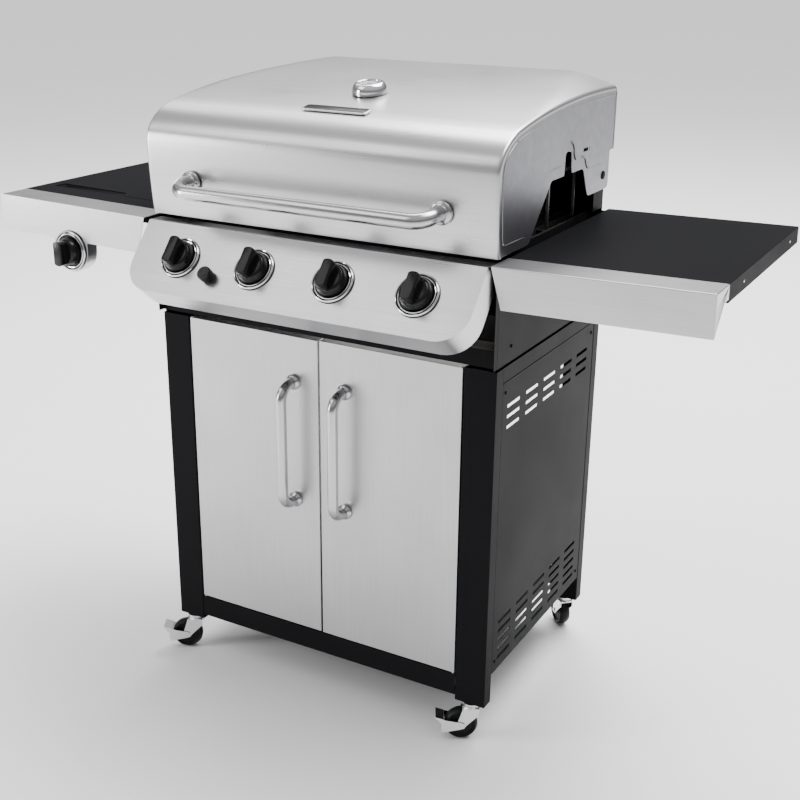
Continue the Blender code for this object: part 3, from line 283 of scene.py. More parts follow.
def make_finishes(colours):
    steel = tuple(colours.steel)
    across, upright, deep = (6, 800, 800), (800, 800, 6), (800, 6, 800)
    return {
        "steel_across": brushed_metal("stainless_brushed_across", steel, across, 0.30),
        # The doors' steel is the same stainless at 0.86 of its colour: painted shade for the dimmer light on the
        # upright faces; only its upright grain is real.
        "steel_upright_shaded": brushed_metal("stainless_brushed_upright", scaled(steel, 0.86), upright, 0.36),
        "steel_deep": brushed_metal("stainless_brushed_deep", steel, deep, 0.32),
        "tube": brushed_metal("satin_steel_tube", scaled(steel, 0.90), (300, 300, 300), 0.20, 0.06),
        "hood_end": brushed_metal("grey_steel_plate", tuple(colours.hood_end), (60, 60, 60), 0.38, 0.08),
        "chrome": brushed_metal("polished_chrome", (0.80, 0.80, 0.82), (90, 90, 90), 0.10, 0.04),
        "inner_steel": brushed_metal(
            "heat_stained_steel", (0.30, 0.29, 0.275), (500, 30, 500), 0.40, 0.16,
        ),
        "aluminium": brushed_metal("drawn_aluminium", (0.60, 0.60, 0.61), (20, 600, 600), 0.38, 0.08),
        "brass": brushed_metal("turned_brass", (0.62, 0.44, 0.18), (400, 400, 400), 0.32, 0.10),
        "paint": coated("black_powder_coat", tuple(colours.paint), 0.42, 1400, 0.00005, gloss=0.03),
        "deck": coated(
            "black_shelf_enamel", scaled(tuple(colours.paint), 1.2), 0.40, 1200, 0.00004, gloss=0.008,
        ),
        "enamel": coated(
            "firebox_enamel", scaled(tuple(colours.paint), 1.6), 0.24, 700, 0.00006, coat=0.1, gloss=0.2,
        ),
        "cast_iron": coated("cast_iron_grate", (0.020, 0.019, 0.018), 0.62, 900, 0.00025, metallic=0.3),
        "plastic": coated(
            "gloss_black_plastic", tuple(colours.plastic), 0.20, 500, 0.00002, coat=0.12, gloss=0.16,
        ),
        "wheel": coated("black_wheel_plastic", (0.007, 0.007, 0.0075), 0.38, 1500, 0.00005, gloss=0.15),
        "mark": coated("white_mark", (0.82, 0.82, 0.80), 0.45, 900, 0.00002),
        "dial": coated("dial_face", (0.86, 0.86, 0.84), 0.40, 600, 0.00002),
        # Dark print colour for the dial's needle and ticks; the burner ports and the hood-end slit use it as
        # painted shade.
        "needle": coated("dial_print", (0.03, 0.03, 0.035), 0.45, 900, 0.00002),
        "glass": lens_glass("dial_glass"),
    }


FINISHES = {}

NODE_FINISH = {
    "stainless": "steel_across", "chrome": "chrome", "handle_steel": "tube", "grey_steel": "hood_end",
    "knob_plastic": "plastic", "wheel_plastic": "wheel", "cast_iron": "cast_iron",
    "inner_steel": "inner_steel", "aluminium": "aluminium", "brass": "brass", "enamel": "enamel",
    "plate_black": "plastic", "black_paint": "paint",
}


# ---- modelling tools ----------------------------------------------------------------------
def new_piece(name, mesh):
    made = bpy.data.objects.new(name, mesh)
    bpy.context.scene.collection.objects.link(made)
    return made


def frozen(piece):
    """The piece with its modifiers or curve made a plain mesh."""
    bpy.context.view_layer.update()
    graph = bpy.context.evaluated_depsgraph_get()
    mesh = bpy.data.meshes.new_from_object(piece.evaluated_get(graph))
    name = piece.name
    if piece.type == "MESH":
        piece.modifiers.clear()
        piece.data = mesh
        return piece
    bpy.data.objects.remove(piece)
    return new_piece(name, mesh)


def dressed(piece, finish, body, slot, *nodes):
    """Gives a finished piece its material, its body and the frame nodes that it stands for."""
    piece.data.materials.clear()
    piece.data.materials.append(FINISHES[finish])
    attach(piece, body)
    if nodes:
        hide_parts(*nodes)
    return piece


def from_bmesh(name, shape, angle=40):
    mesh = bpy.data.meshes.new(name)
    shape.to_mesh(mesh)
    shape.free()
    mesh.shade_smooth()
    mesh.set_sharp_from_angle(angle=math.radians(angle))
    return new_piece(name, mesh)


def sheet_copy(node):
    """A frame node's solid as a bmesh, with its loose triangles merged into flat faces."""
    shape = bmesh.new()
    shape.from_mesh(frame["nodes"][node].data)
    bmesh.ops.remove_doubles(shape, verts=shape.verts, dist=2e-6)
    bmesh.ops.dissolve_limit(
        shape, angle_limit=math.radians(0.6), verts=shape.verts, edges=shape.edges,
    )
    return shape


def softened(node, name, edge, fold=0.0, folds=None):
    """A frame node with rounded folds, chosen by a test on their two ends, and eased edges."""
    shape = sheet_copy(node)
    if folds:
        chosen = [line for line in shape.edges if folds(*(end.co for end in line.verts))]
        bmesh.ops.bevel(
            shape, geom=chosen, offset=fold, segments=6, profile=0.5, affect="EDGES",
            clamp_overlap=True,
        )
    mesh = bpy.data.meshes.new(name)
    shape.to_mesh(mesh)
    shape.free()
    mesh.shade_smooth()
    piece = new_piece(name, mesh)
    ease = piece.modifiers.new("ease", "BEVEL")
    ease.width = edge
    ease.segments = 2
    ease.limit_method = "ANGLE"
    ease.angle_limit = math.radians(40)
    ease.use_clamp_overlap = True
    even = piece.modifiers.new("even", "WEIGHTED_NORMAL")
    even.keep_sharp = True
    return frozen(piece)


def own_finish(node, finish=None, edge=0.0004, fold=0.0, folds=None):
    """Replaces one frame node by its softened copy."""
    piece = softened(node, f"{node}_visual", edge, fold, folds)
    slot = SLOT_OF[node]
    return dressed(piece, finish or NODE_FINISH[slot], BODY_OF[node], slot, node)


def aimed(at, axis, turn=0.0):
    """A matrix with its +Z along an axis and its +Y as upright as it can be."""
    spin = Matrix.Rotation(turn, 4, "Z")
    return Matrix.Translation(at) @ Vector(axis).to_track_quat("Z", "Y").to_matrix().to_4x4() @ spin


def turned(name, profile, steps, at):
    """A profile of (radius, height) points turned about +Z of a matrix."""
    shape = bmesh.new()
    rings = []
    for radius, height in profile:
        if radius < 1e-7:
            rings.append([shape.verts.new(at @ Vector((0, 0, height)))])
            continue
        rings.append([
            shape.verts.new(at @ Vector((
                radius * math.cos(math.tau * k / steps), radius * math.sin(math.tau * k / steps), height,
            )))
            for k in range(steps)
        ])
    for low, high in zip(rings, rings[1:]):
        for k in range(steps):
            j = (k + 1) % steps
            if len(low) == 1:
                shape.faces.new((low[0], high[j], high[k]))
            elif len(high) == 1:
                shape.faces.new((low[k], low[j], high[0]))
            else:
                shape.faces.new((low[k], low[j], high[j], high[k]))
    bmesh.ops.remove_doubles(shape, verts=shape.verts, dist=1e-7)
    bmesh.ops.recalc_face_normals(shape, faces=shape.faces)
    return from_bmesh(name, shape, 35)


def tube(name, points, radii, resolution=6):
    """A round bar along points, with its radius at each of them."""
    curve = bpy.data.curves.new(name, "CURVE")
    curve.dimensions = "3D"
    curve.bevel_depth = 1.0
    curve.bevel_resolution = resolution
    curve.use_fill_caps = True
    spline = curve.splines.new("POLY")
    spline.points.add(len(points) - 1)
    for point, spot, radius in zip(spline.points, points, radii):
        point.co = (*spot, 1)
        point.radius = radius
    piece = frozen(new_piece(name, curve))
    shape = bmesh.new()
    shape.from_mesh(piece.data)
    bmesh.ops.remove_doubles(shape, verts=shape.verts, dist=1e-7)
    bmesh.ops.recalc_face_normals(shape, faces=shape.faces)
    shape.to_mesh(piece.data)
    shape.free()
    piece.data.shade_smooth()
    piece.data.set_sharp_from_angle(angle=math.radians(40))
    return piece


def slab(name, outline, low, high, at, ease=0.0006):
    """An XY outline made solid between two heights of a matrix, with eased edges."""
    shape = bmesh.new()
    floor = shape.faces.new([shape.verts.new((x, y, low)) for x, y in outline])
    raised = bmesh.ops.extrude_face_region(shape, geom=[floor])["geom"]
    lifted = [part for part in raised if isinstance(part, bmesh.types.BMVert)]
    bmesh.ops.translate(shape, vec=(0, 0, high - low), verts=lifted)
    bmesh.ops.recalc_face_normals(shape, faces=shape.faces)
    sharp = [line for line in shape.edges if line.calc_face_angle(0) > math.radians(50)]
    bmesh.ops.bevel(
        shape, geom=sharp, offset=ease, segments=3, profile=0.5, affect="EDGES", clamp_overlap=True,
    )
    shape.transform(at)
    bmesh.ops.recalc_face_normals(shape, faces=shape.faces)
    return from_bmesh(name, shape)


def joined(name, pieces):
    """Several loose pieces as one mesh."""
    shape = bmesh.new()
    for piece in pieces:
        shape.from_mesh(piece.data)
        bpy.data.objects.remove(piece)
    return from_bmesh(name, shape)


def rounded_bar(half, long, corner, steps=6):
    """A rectangle with round corners."""
    points = []
    for sign_x, sign_y, start in ((1, 1, 0), (-1, 1, 90), (-1, -1, 180), (1, -1, 270)):
        for k in range(steps + 1):
            turn = math.radians(start + 90 * k / steps)
            points.append((
                sign_x * (half - corner) + corner * math.cos(turn),
                sign_y * (long - corner) + corner * math.sin(turn),
            ))
    return points


def bend(start, pull, end, steps):
    """A smooth bend from start to end, drawn towards a pull point."""
    run = []
    for k in range(steps + 1):
        t = k / steps
        run.append(tuple(
            (1 - t) ** 2 * a + 2 * t * (1 - t) * b + t * t * c for a, b, c in zip(start, pull, end)
        ))
    return run


# ---- geometry nodes -----------------------------------------------------------------------
def scatter_tree():
    """Puts a shape on every point, turned to the point's facing, at a given size."""
    tree = bpy.data.node_groups.new("scatter_on_points", "GeometryNodeTree")
    for label, kind in (
        ("Points", "NodeSocketGeometry"), ("Shape", "NodeSocketObject"),
        ("Size", "NodeSocketFloat"), ("Finish", "NodeSocketMaterial"),
    ):
        tree.interface.new_socket(label, in_out="INPUT", socket_type=kind)
    tree.interface.new_socket("Pieces", in_out="OUTPUT", socket_type="NodeSocketGeometry")
    add, link = tree.nodes.new, tree.links.new
    given, result = add("NodeGroupInput"), add("NodeGroupOutput")
    shape = add("GeometryNodeObjectInfo")
    facing = add("GeometryNodeInputNamedAttribute")
    facing.data_type = "FLOAT_VECTOR"
    facing.inputs["Name"].default_value = "facing"
    aim = add("FunctionNodeAlignRotationToVector")
    aim.axis = "Z"
    place = add("GeometryNodeInstanceOnPoints")
    real = add("GeometryNodeRealizeInstances")
    paint = add("GeometryNodeSetMaterial")
    link(given.outputs["Shape"], shape.inputs["Object"])
    link(facing.outputs["Attribute"], aim.inputs["Vector"])
    link(given.outputs["Points"], place.inputs["Points"])
    link(shape.outputs["Geometry"], place.inputs["Instance"])
    link(aim.outputs["Rotation"], place.inputs["Rotation"])
    link(given.outputs["Size"], place.inputs["Scale"])
    link(place.outputs["Instances"], real.inputs["Geometry"])
    link(real.outputs["Geometry"], paint.inputs["Geometry"])
    link(given.outputs["Finish"], paint.inputs["Material"])
    link(paint.outputs["Geometry"], result.inputs["Pieces"])
    return tree


SCATTER = scatter_tree()


def scattered(name, shape, spots, size, finish, body, slot):
    """One piece made of a shape at each (place, facing) spot; the shape is used up."""
    mesh = bpy.data.meshes.new(name)
    mesh.from_pydata([spot for spot, _ in spots], [], [])
    facing = mesh.attributes.new("facing", "FLOAT_VECTOR", "POINT")
    for item, (_, way) in zip(facing.data, spots):
        item.vector = way
    piece = new_piece(name, mesh)
    nodes = piece.modifiers.new("scatter", "NODES")
    nodes.node_group = SCATTER
    sockets = {
        item.name: item.identifier for item in SCATTER.interface.items_tree if item.in_out == "INPUT"
    }
    nodes[sockets["Shape"]] = shape
    nodes[sockets["Size"]] = size
    nodes[sockets["Finish"]] = FINISHES[finish]
    piece = frozen(piece)
    bpy.data.objects.remove(shape)
    piece.data.shade_smooth()
    piece.data.set_sharp_from_angle(angle=math.radians(35))
    return dressed(piece, finish, body, slot)


def screw_head(name):
    """A pan head of radius 1 with a cross on it, facing +Z."""
    profile = [(0, -0.4), (1, -0.4), (1, 0.05), (0.93, 0.25), (0.75, 0.42), (0.45, 0.5), (0, 0.52)]
    pieces = [turned("head", profile, 20, Matrix.Identity(4))]
    for turn in (0, 90):
        bar = [(-0.5, -0.09), (0.5, -0.09), (0.5, 0.09), (-0.5, 0.09)]
        spun = Matrix.Rotation(math.radians(turn), 4, "Z")
        pieces.append(slab("bar", bar, 0.40, 0.56 + turn / 9000, spun, 0.01))
    return joined(name, pieces)


# ---- stage --------------------------------------------------------------------------------
CAMERA_PLACE = Vector((1.07256, -1.83714, 1.31450))
CAMERA_YAW, CAMERA_PITCH, CAMERA_ROLL = 28.92, -20.15, 0.62
CAMERA_LENS = 55.27
CAMERA_SHIFT = (-0.0006, -0.0079)


def make_camera():
    yaw, pitch, roll = (math.radians(a) for a in (CAMERA_YAW, CAMERA_PITCH, CAMERA_ROLL))
    ahead = Vector((-math.sin(yaw) * math.cos(pitch), math.cos(yaw) * math.cos(pitch), math.sin(pitch)))
    level = Vector((math.cos(yaw), math.sin(yaw), 0))
    right = level * math.cos(roll) + level.cross(ahead) * math.sin(roll)
    up = right.cross(ahead)
    data = bpy.data.cameras.new("studio_camera")
    data.lens = CAMERA_LENS
    data.shift_x, data.shift_y = CAMERA_SHIFT
    data.clip_end = 200
    camera = bpy.data.objects.new("studio_camera", data)
    bpy.context.scene.collection.objects.link(camera)
    turn = Matrix((right, up, -ahead)).transposed().to_4x4()
    camera.matrix_world = Matrix.Translation(CAMERA_PLACE) @ turn
    bpy.context.scene.camera = camera


def make_light(name, place, target, size, power):
    data = bpy.data.lights.new(name, "AREA")
    data.shape = "RECTANGLE"
    data.size, data.size_y = size
    data.energy = power
    lamp = bpy.data.objects.new(name, data)
    bpy.context.scene.collection.objects.link(lamp)
    way = Vector(target) - Vector(place)
    lamp.matrix_world = Matrix.Translation(place) @ way.to_track_quat("-Z", "Y").to_matrix().to_4x4()


def make_sun(name, way, strength, spread):
    """A distant light whose shadows are soft."""
    data = bpy.data.lights.new(name, "SUN")
    data.energy = strength
    data.angle = math.radians(spread)
    lamp = bpy.data.objects.new(name, data)
    bpy.context.scene.collection.objects.link(lamp)
    lamp.matrix_world = Vector(way).to_track_quat("Z", "Y").to_matrix().to_4x4()


def make_sky():
    """A pale surround that is bright overhead and darker towards the horizon."""
    world = bpy.data.worlds.new("studio_surround")
    bpy.context.scene.world = world
    world.use_nodes = True
    tree = world.node_tree
    sky = tree.nodes["Background"]
    way = tree.nodes.new("ShaderNodeTexCoord")
    split = tree.nodes.new("ShaderNodeSeparateXYZ")
    ramp = tree.nodes.new("ShaderNodeValToRGB")
    stops = ramp.color_ramp.elements
    stops[0].position, stops[0].color = 0.0, (0.46, 0.46, 0.465, 1)
    stops[1].position, stops[1].color = 1.0, (1.0, 1.0, 1.0, 1)
    for height, level in ((0.20, 0.34), (0.34, 0.40), (0.50, 0.80)):
        stops.new(height).color = (level, level, level, 1)
    tree.links.new(way.outputs["Generated"], split.inputs[0])
    tree.links.new(split.outputs["Z"], ramp.inputs["Fac"])
    tree.links.new(ramp.outputs["Color"], sky.inputs["Color"])
    sky.inputs["Strength"].default_value = 0.72


def make_floor():
    shape = bmesh.new()
    bmesh.ops.create_grid(shape, x_segments=8, y_segments=8, size=40)
    floor = from_bmesh("studio_floor", shape)
    floor.location.z = -0.0005
    made, tree, surface, place = shader("pale_floor")
    tone = tinted(tree, noise(tree, place, 0.8, 2, 0.5), (0.91, 0.91, 0.91), (0.94, 0.94, 0.94))
    tree.links.new(tone, surface.inputs["Base Color"])
    surface.inputs["Roughness"].default_value = 0.75
    floor.data.materials.append(made)


# ---- cabinet ------------------------------------------------------------------------------
def near(value, target, within=2e-4):
    return abs(value - target) < within


def make_cabinet(sizes):
    for node in ("post_front_left", "post_front_right", "post_rear_left", "post_rear_right"):
        low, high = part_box(node)

        def corner(a, b, low=low, high=high):
            upright = near(a.x, b.x) and near(a.y, b.y) and abs(a.z - b.z) > 0.1
            return upright and min(abs(a.x - low.x), abs(a.x - high.x)) < 2e-4 and (
                near(a.y, low.y) or near(a.y, high.y)
            )
        own_finish(node, None, sizes.edge, sizes.fold, corner)
    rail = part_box("rail_bottom_front")[LOW]
    own_finish(
        "rail_bottom_front", None, sizes.edge, 0.0016,
        lambda a, b: near(a.y, rail.y) and near(b.y, rail.y) and near(a.z, b.z),
    )
    for node in ("floor_shelf", "side_panel_left", "side_panel_right", "head_frame"):
        own_finish(node, None, sizes.edge)
    own_finish("grease_tray", None, sizes.edge)
    make_side_beads()
    make_cabinet_screws(sizes.screw)


def make_side_beads():
    """The pressed line under the top of each side panel."""
    for side, sign in SIDES.items():
        low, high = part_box(f"side_panel_{side}")
        x = high.x if sign > 0 else low.x
        z = high.z - 0.027
        points = [(x - sign * 0.0006, y, z) for y in (low.y + 0.002, high.y - 0.002)]
        bead = tube(f"side_bead_{side}", points, [0.0014, 0.0014], 3)
        dressed(bead, "paint", "cabinet", "black_paint")


def make_cabinet_screws(radius):
    frame_low, frame_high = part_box("head_frame")
    panel_low, panel_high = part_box("side_panel_right")
    spots = []
    for sign in SIDES.values():
        face = Vector((sign, 0, 0))
        x = sign * frame_high.x
        for y, z in ((0.052, 0.030), (0.052, 0.105), (0.400, 0.030), (0.400, 0.105)):
            spots.append((Vector((x, DOOR_PLANE + y, frame_low.z + z)), face))
        x = sign * panel_high.x
        for y in (panel_low.y + 0.012, panel_high.y - 0.012):
            for z in (panel_low.z + 0.02, panel_high.z - 0.045):
                spots.append((Vector((x, y, z)), face))
    scattered(
        "cabinet_screws", screw_head("screw_shape"), spots, radius * 0.8, "paint", "cabinet",
        "black_paint",
    )


# ---- cooking parts ------------------------------------------------------------------------
def make_cooking_parts(sizes):
    own_finish("firebox", None, sizes.edge)
    own_finish("rear_wall", "paint", sizes.edge)
    own_finish("heat_plate", None, sizes.edge)
    own_finish("warming_rack", None, 0.0009)
    for node in ("grate_left", "grate_right", "side_grate"):
        own_finish(node, None, 0.0011)
    own_finish("manifold", None, 0.0006)
    make_burners()


def make_burners():
    """Smooth tubes with two rows of flame ports, drawn as dark dots of painted shade."""
    ports = []
    for number in BURNERS:
        low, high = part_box(f"burner_{number}")
        middle = (low + high) / 2
        radius = (high.z - low.z) / 2
        long = high.y - low.y
        start = Vector((middle.x, low.y, middle.z))
        profile = [(0, 0), (0.0065, 0), (0.008, 0.0015), (0.008, 0.026), (0.0092, 0.030), (0.0132, 0.037)]
        profile += [(radius, 0.041), (radius, long - 0.005), (radius - 0.001, long - 0.002)]
        profile += [(radius - 0.003, long), (0, long)]
        piece = turned(f"burner_{number}_visual", profile, 40, aimed(start, (0, 1, 0)))
        dressed(piece, "inner_steel", "cabinet", "inner_steel", f"burner_{number}")
        for k in range(26):
            for sign in SIDES.values():
                way = Vector((sign * math.cos(0.5), 0, math.sin(0.5)))
                spot = start + Vector((0, 0.055 + k * 0.0122, 0)) + way * (radius - 0.0002)
                ports.append((spot, way))
    # Each port is a dark dot in the print colour: painted shade standing in for the dark inside of the hole.
    hole = turned("port_shape", [(0, -0.2), (1, -0.2), (0.9, 0.35), (0, 0.35)], 10, Matrix.Identity(4))
    scattered("burner_ports", hole, ports, 0.0011, "needle", "cabinet", "inner_steel")


# ---- doors --------------------------------------------------------------------------------
def make_doors(sizes):
    for side, sign in SIDES.items():
        # The doors take the darker upright steel, whose lower tone is painted shade.
        own_finish(
            f"door_{side}", "steel_upright_shaded", 0.0003, sizes.fold,
            lambda a, b: near(a.y, DOOR_PLANE) and near(b.y, DOOR_PLANE),
        )
        make_door_handle(side)


DOOR_TUBE = 0.0092


def make_door_handle(side):
    """A bent tube whose ends flare into round feet."""
    low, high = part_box(f"door_handle_{side}")
    x, foot = (low.x + high.x) / 2, (high.x - low.x) / 2
    bar, corner = DOOR_TUBE, 0.026
    off = low.y + bar
    flare = ((0.0, 0.96), (0.0012, 1.0), (0.0034, 1.0), (0.0046, 0.94), (0.0058, 0.80), (0.0078, 0.66))
    points, radii = [], []
    for z, inward in ((high.z - foot, -1), (low.z + foot, 1)):
        run = [(x, high.y - deep, z) for deep, _ in flare]
        sizes = [foot * share for _, share in flare]
        for k in range(13):
            turn = math.radians(7.5 * k)
            y = off + corner * (1 - math.sin(turn))
            run.append((x, y, z + inward * corner * (1 - math.cos(turn))))
            sizes.append(bar)
        if inward > 0:
            run.reverse()
            sizes.reverse()
        points += run
        radii += sizes
    piece = tube(f"door_handle_{side}_visual", points, radii, 8)
    node = f"door_handle_{side}"
    dressed(piece, "tube", BODY_OF[node], "chrome", node)


# ---- casters ------------------------------------------------------------------------------
def make_casters():
    for name in SWIVELS:
        fork, wheel = f"fork_{name}", f"wheel_{name}"
        own_finish(f"caster_{name}", "chrome", 0.0004)
        swivel = joint_place(f"{name}_swivel")
        ring = [(0.0118, 0), (0.0150, 0.0003), (0.0168, 0.0018), (0.0172, 0.0032), (0.0160, 0.0046)]
        ring += [(0.0140, 0.0052), (0.0118, 0.0054), (0.0118, 0)]
        at = Matrix.Translation((swivel.x, swivel.y, swivel.z - 0.0112))
        dressed(turned(f"swivel_race_{name}", ring, 40, at), "chrome", fork, "chrome")
        make_wheel(name, wheel, fork)
        if name.startswith("front"):
            own_finish(f"brake_{name}", "chrome", 0.0005)


def make_wheel(name, wheel, fork):
    centre, axis = joint_place(f"{name}_roll"), joint_axis(f"{name}_roll")
    at = aimed(centre, axis)
    half, radius = 0.0105, centre.z
    side = [
        (0.0031, half - 0.0014), (0.0056, half - 0.0012), (0.0078, half - 0.0012), (0.0092, half - 0.0030),
        (0.0110, half - 0.0038), (radius - 0.0085, half - 0.0038), (radius - 0.0068, half - 0.0022),
        (radius - 0.0052, half - 0.0004), (radius - 0.0038, half), (radius - 0.0025, half - 0.0021),
        (radius - 0.0012, half - 0.0043), (radius - 0.0002, half - 0.0063),
    ]
    profile = side + [(r, -h) for r, h in side[::-1]] + side[:1]
    piece = turned(f"{wheel}_visual", profile, 72, at)
    dressed(piece, "wheel", wheel, "wheel_plastic", wheel)
    cap = [(0, 0.0015), (0.0028, 0.0014), (0.0042, 0.0008), (0.0046, 0), (0, 0)]
    caps = [
        turned(f"cap_{k}", cap, 24, aimed(centre + axis * way * 0.0138, axis * way))
        for k, way in enumerate((-1, 1))
    ]
    dressed(joined(f"axle_caps_{name}", caps), "chrome", fork, "chrome")


# ---- control panel ------------------------------------------------------------------------
PANEL_OUT = joint_axis("burner_1_turn")


def make_control_panel(sizes):
    face = joint_place("burner_1_turn")
    knobs = [joint_place(f"burner_{number}_turn") for number in BURNERS]
    igniter = sum(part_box("igniter_button"), Vector()) / 2

    def rim(a, b):
        flat = abs((a - face).dot(PANEL_OUT)) < 2e-4 and abs((b - face).dot(PANEL_OUT)) < 2e-4
        clear = min((a - knob).length for knob in knobs) > 0.015 and (a - igniter).length > 0.014
        return flat and clear
    own_finish("control_panel", None, 0.0003, 0.0032, rim)
    for number in BURNERS:
        at = aimed(joint_place(f"burner_{number}_turn"), PANEL_OUT)
        make_bezel(f"bezel_{number}", at, f"bezel_{number}")
        make_knob(f"knob_{number}", at, 0.0275, 0.036)
    make_igniter()


def make_bezel(name, at, *nodes):
    """Two chrome rings on a black plastic seat that shows between them and under the knob; its thin outer lip
    beyond the outer ring is painted shade.
    """
    outer = [
        (0.0338, 0.0012), (0.0360, 0.0012), (0.0366, 0.0022), (0.0365, 0.0034), (0.0358, 0.0046),
        (0.0348, 0.0052), (0.0340, 0.0047), (0.0337, 0.0036), (0.0338, 0.0012),
    ]
    inner = [
        (0.0290, 0.0012), (0.0316, 0.0012), (0.0318, 0.0026), (0.0315, 0.0042), (0.0306, 0.0049),
        (0.0297, 0.0046), (0.0291, 0.0036), (0.0290, 0.0012),
    ]
    rings = [turned("ring", ring, 96, at) for ring in (outer, inner)]
    dressed(joined(f"{name}_rings", rings), "chrome", "cabinet", "chrome", *nodes)
    # The lip at radius 0.0368 to 0.0371, just outside the outer chrome ring, is painted shade: a black rim
    # standing in for the dark line at the bezel's edge.
    dish_and_shade_rim = [
        (0.0062, 0.0005), (0.0368, 0.0005), (0.0371, 0.0011), (0.0368, 0.0019), (0.0362, 0.0021),
        (0.0334, 0.0021), (0.0288, 0.0022), (0.0280, 0.0034), (0.0062, 0.0034), (0.0062, 0.0005),
    ]
    dressed(turned(f"{name}_dish", dish_and_shade_rim, 96, at), "plastic", "cabinet", "knob_plastic")


def make_knob(node, at, radius, high):
    """A dished skirt with a waisted grip across it, and a sunk pointer line."""
    skirt = [
        (0, -0.034), (0.004, -0.034), (0.004, 0.0046), (radius - 0.0012, 0.0046), (radius - 0.0002, 0.0054),
        (radius, 0.0070), (radius - 0.0006, 0.0095), (radius - 0.0022, 0.0145), (radius - 0.0036, 0.0172),
        (radius - 0.0055, 0.0186), (radius - 0.0085, 0.0192), (0, 0.0194),
    ]
    base = turned("skirt", skirt, 72, at)
    grip = []
    long = radius - 0.0032
    for sign in (1, -1):
        for k in range(17):
            turn = math.radians(180 * k / 16)
            wide = 0.0098 * math.cos(turn)
            tall = long - 0.0098 * 0.5 + 0.0098 * 0.5 * math.sin(turn)
            grip.append((sign * wide, sign * tall))
    waist = [(x * (0.86 + 0.14 * min(1.0, abs(y) / long) ** 2), y) for x, y in grip]
    top = slab("grip", waist, 0.0120, high, at, 0.0020)
    line = rounded_bar(0.0007, 0.0040, 0.0006, 3)
    pointer = slab("pointer", line, high - 0.0003, high + 0.0001, at, 0.0001)
    pointer.data.transform(Matrix.Translation(at.to_3x3() @ Vector((0, long - 0.0068, 0))))
    body, slot = BODY_OF[node], SLOT_OF[node]
    dressed(joined(f"{node}_visual", [base, top]), "plastic", body, slot, node)
    dressed(pointer, "wheel", body, slot)


def make_igniter():
    low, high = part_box("igniter_button")
    way = -joint_axis("igniter_push")
    middle = (low + high) / 2
    at = aimed(middle - way * 0.00375, way)
    profile = [
        (0, -0.012), (0.0084, -0.012), (0.0084, 0.0046), (0.0118, 0.0046), (0.0124, 0.0054),
        (0.0125, 0.0140), (0.0120, 0.0166), (0.0106, 0.0182), (0.0084, 0.0186), (0.0070, 0.0180),
        (0.0040, 0.0184), (0, 0.0188),
    ]
    piece = turned("igniter_button_visual", profile, 48, at)
    dressed(piece, "plastic", "igniter", "knob_plastic", "igniter_button")


# ---- hood ---------------------------------------------------------------------------------
HOOD_HALF = SKIN_HIGH.x
HOOD_TOP = SKIN_HIGH.z - SKIN_LOW.z
CREST_Y = SKIN_HIGH.y - 0.0211
HOOD_DROP = 0.0217
HOOD_WALL = 0.0012


def hood_section():
    """The hood's middle section as (y, height over its lower edge), front to back."""
    front, back, top = SKIN_LOW.y, SKIN_HIGH.y, HOOD_TOP
    brow = (front, top - 0.1103)
    shoulder = (front + 0.0654, top - 0.050)
    rump = (back - 0.0005, top - 0.0145)
    run = bend((front + 0.0083, 0.0002), (front, 0.07), brow, 8)
    run += bend(brow, (front, top - 0.0709), shoulder, 18)[1:]
    run += bend(shoulder, (shoulder[0] + 0.2123, top - 0.0097), (CREST_Y, top), 14)[1:]
    run += bend((CREST_Y, top), (back - 0.0017, top + 0.0009), rump, 9)[1:]
    return run + [(back, 0.1031)]


def droop(x, y):
    """How far the roof falls away near a rear corner."""
    deep = y - DOOR_PLANE
    reach = 0.94 - 0.24 * max(0.0, (deep - 0.196) / 0.278)
    across = max(0.0, (abs(x) / HOOD_HALF - reach) / (1 - reach))
    along = min(1.0, max(0.0, (y - DOOR_PLANE - 0.10) / (CREST_Y - DOOR_PLANE - 0.10)))
    return HOOD_DROP * along ** 1.35 * across ** 2 * (1.6 - 0.6 * across)


def hood_run(x, inwards=0.0):
    """The hood's section at x as (y, z) points, moved inwards by a distance."""
    roof = HOOD_TOP - 0.050
    run = [
        Vector((y, SKIN_LOW.z + height - (droop(x, y) if height > roof else 0)))
        for y, height in hood_section()
    ]
    moved = []
    for i, spot in enumerate(run):
        along = (run[min(i + 1, len(run) - 1)] - run[max(i - 1, 0)]).normalized()
        moved.append(spot + Vector((along.y, -along.x)) * inwards)
    moved[0].y = run[0].y
    return moved


def on_roof(y):
    """A point on the middle of the roof and the direction it faces."""
    run = hood_run(0)
    for low, high in zip(run, run[1:]):
        if low.x <= y <= high.x and high.x > low.x:
            spot = low.lerp(high, (y - low.x) / (high.x - low.x))
            way = Vector((0, low.y - high.y, high.x - low.x)).normalized()
            return Vector((0, spot.x, spot.y)), way


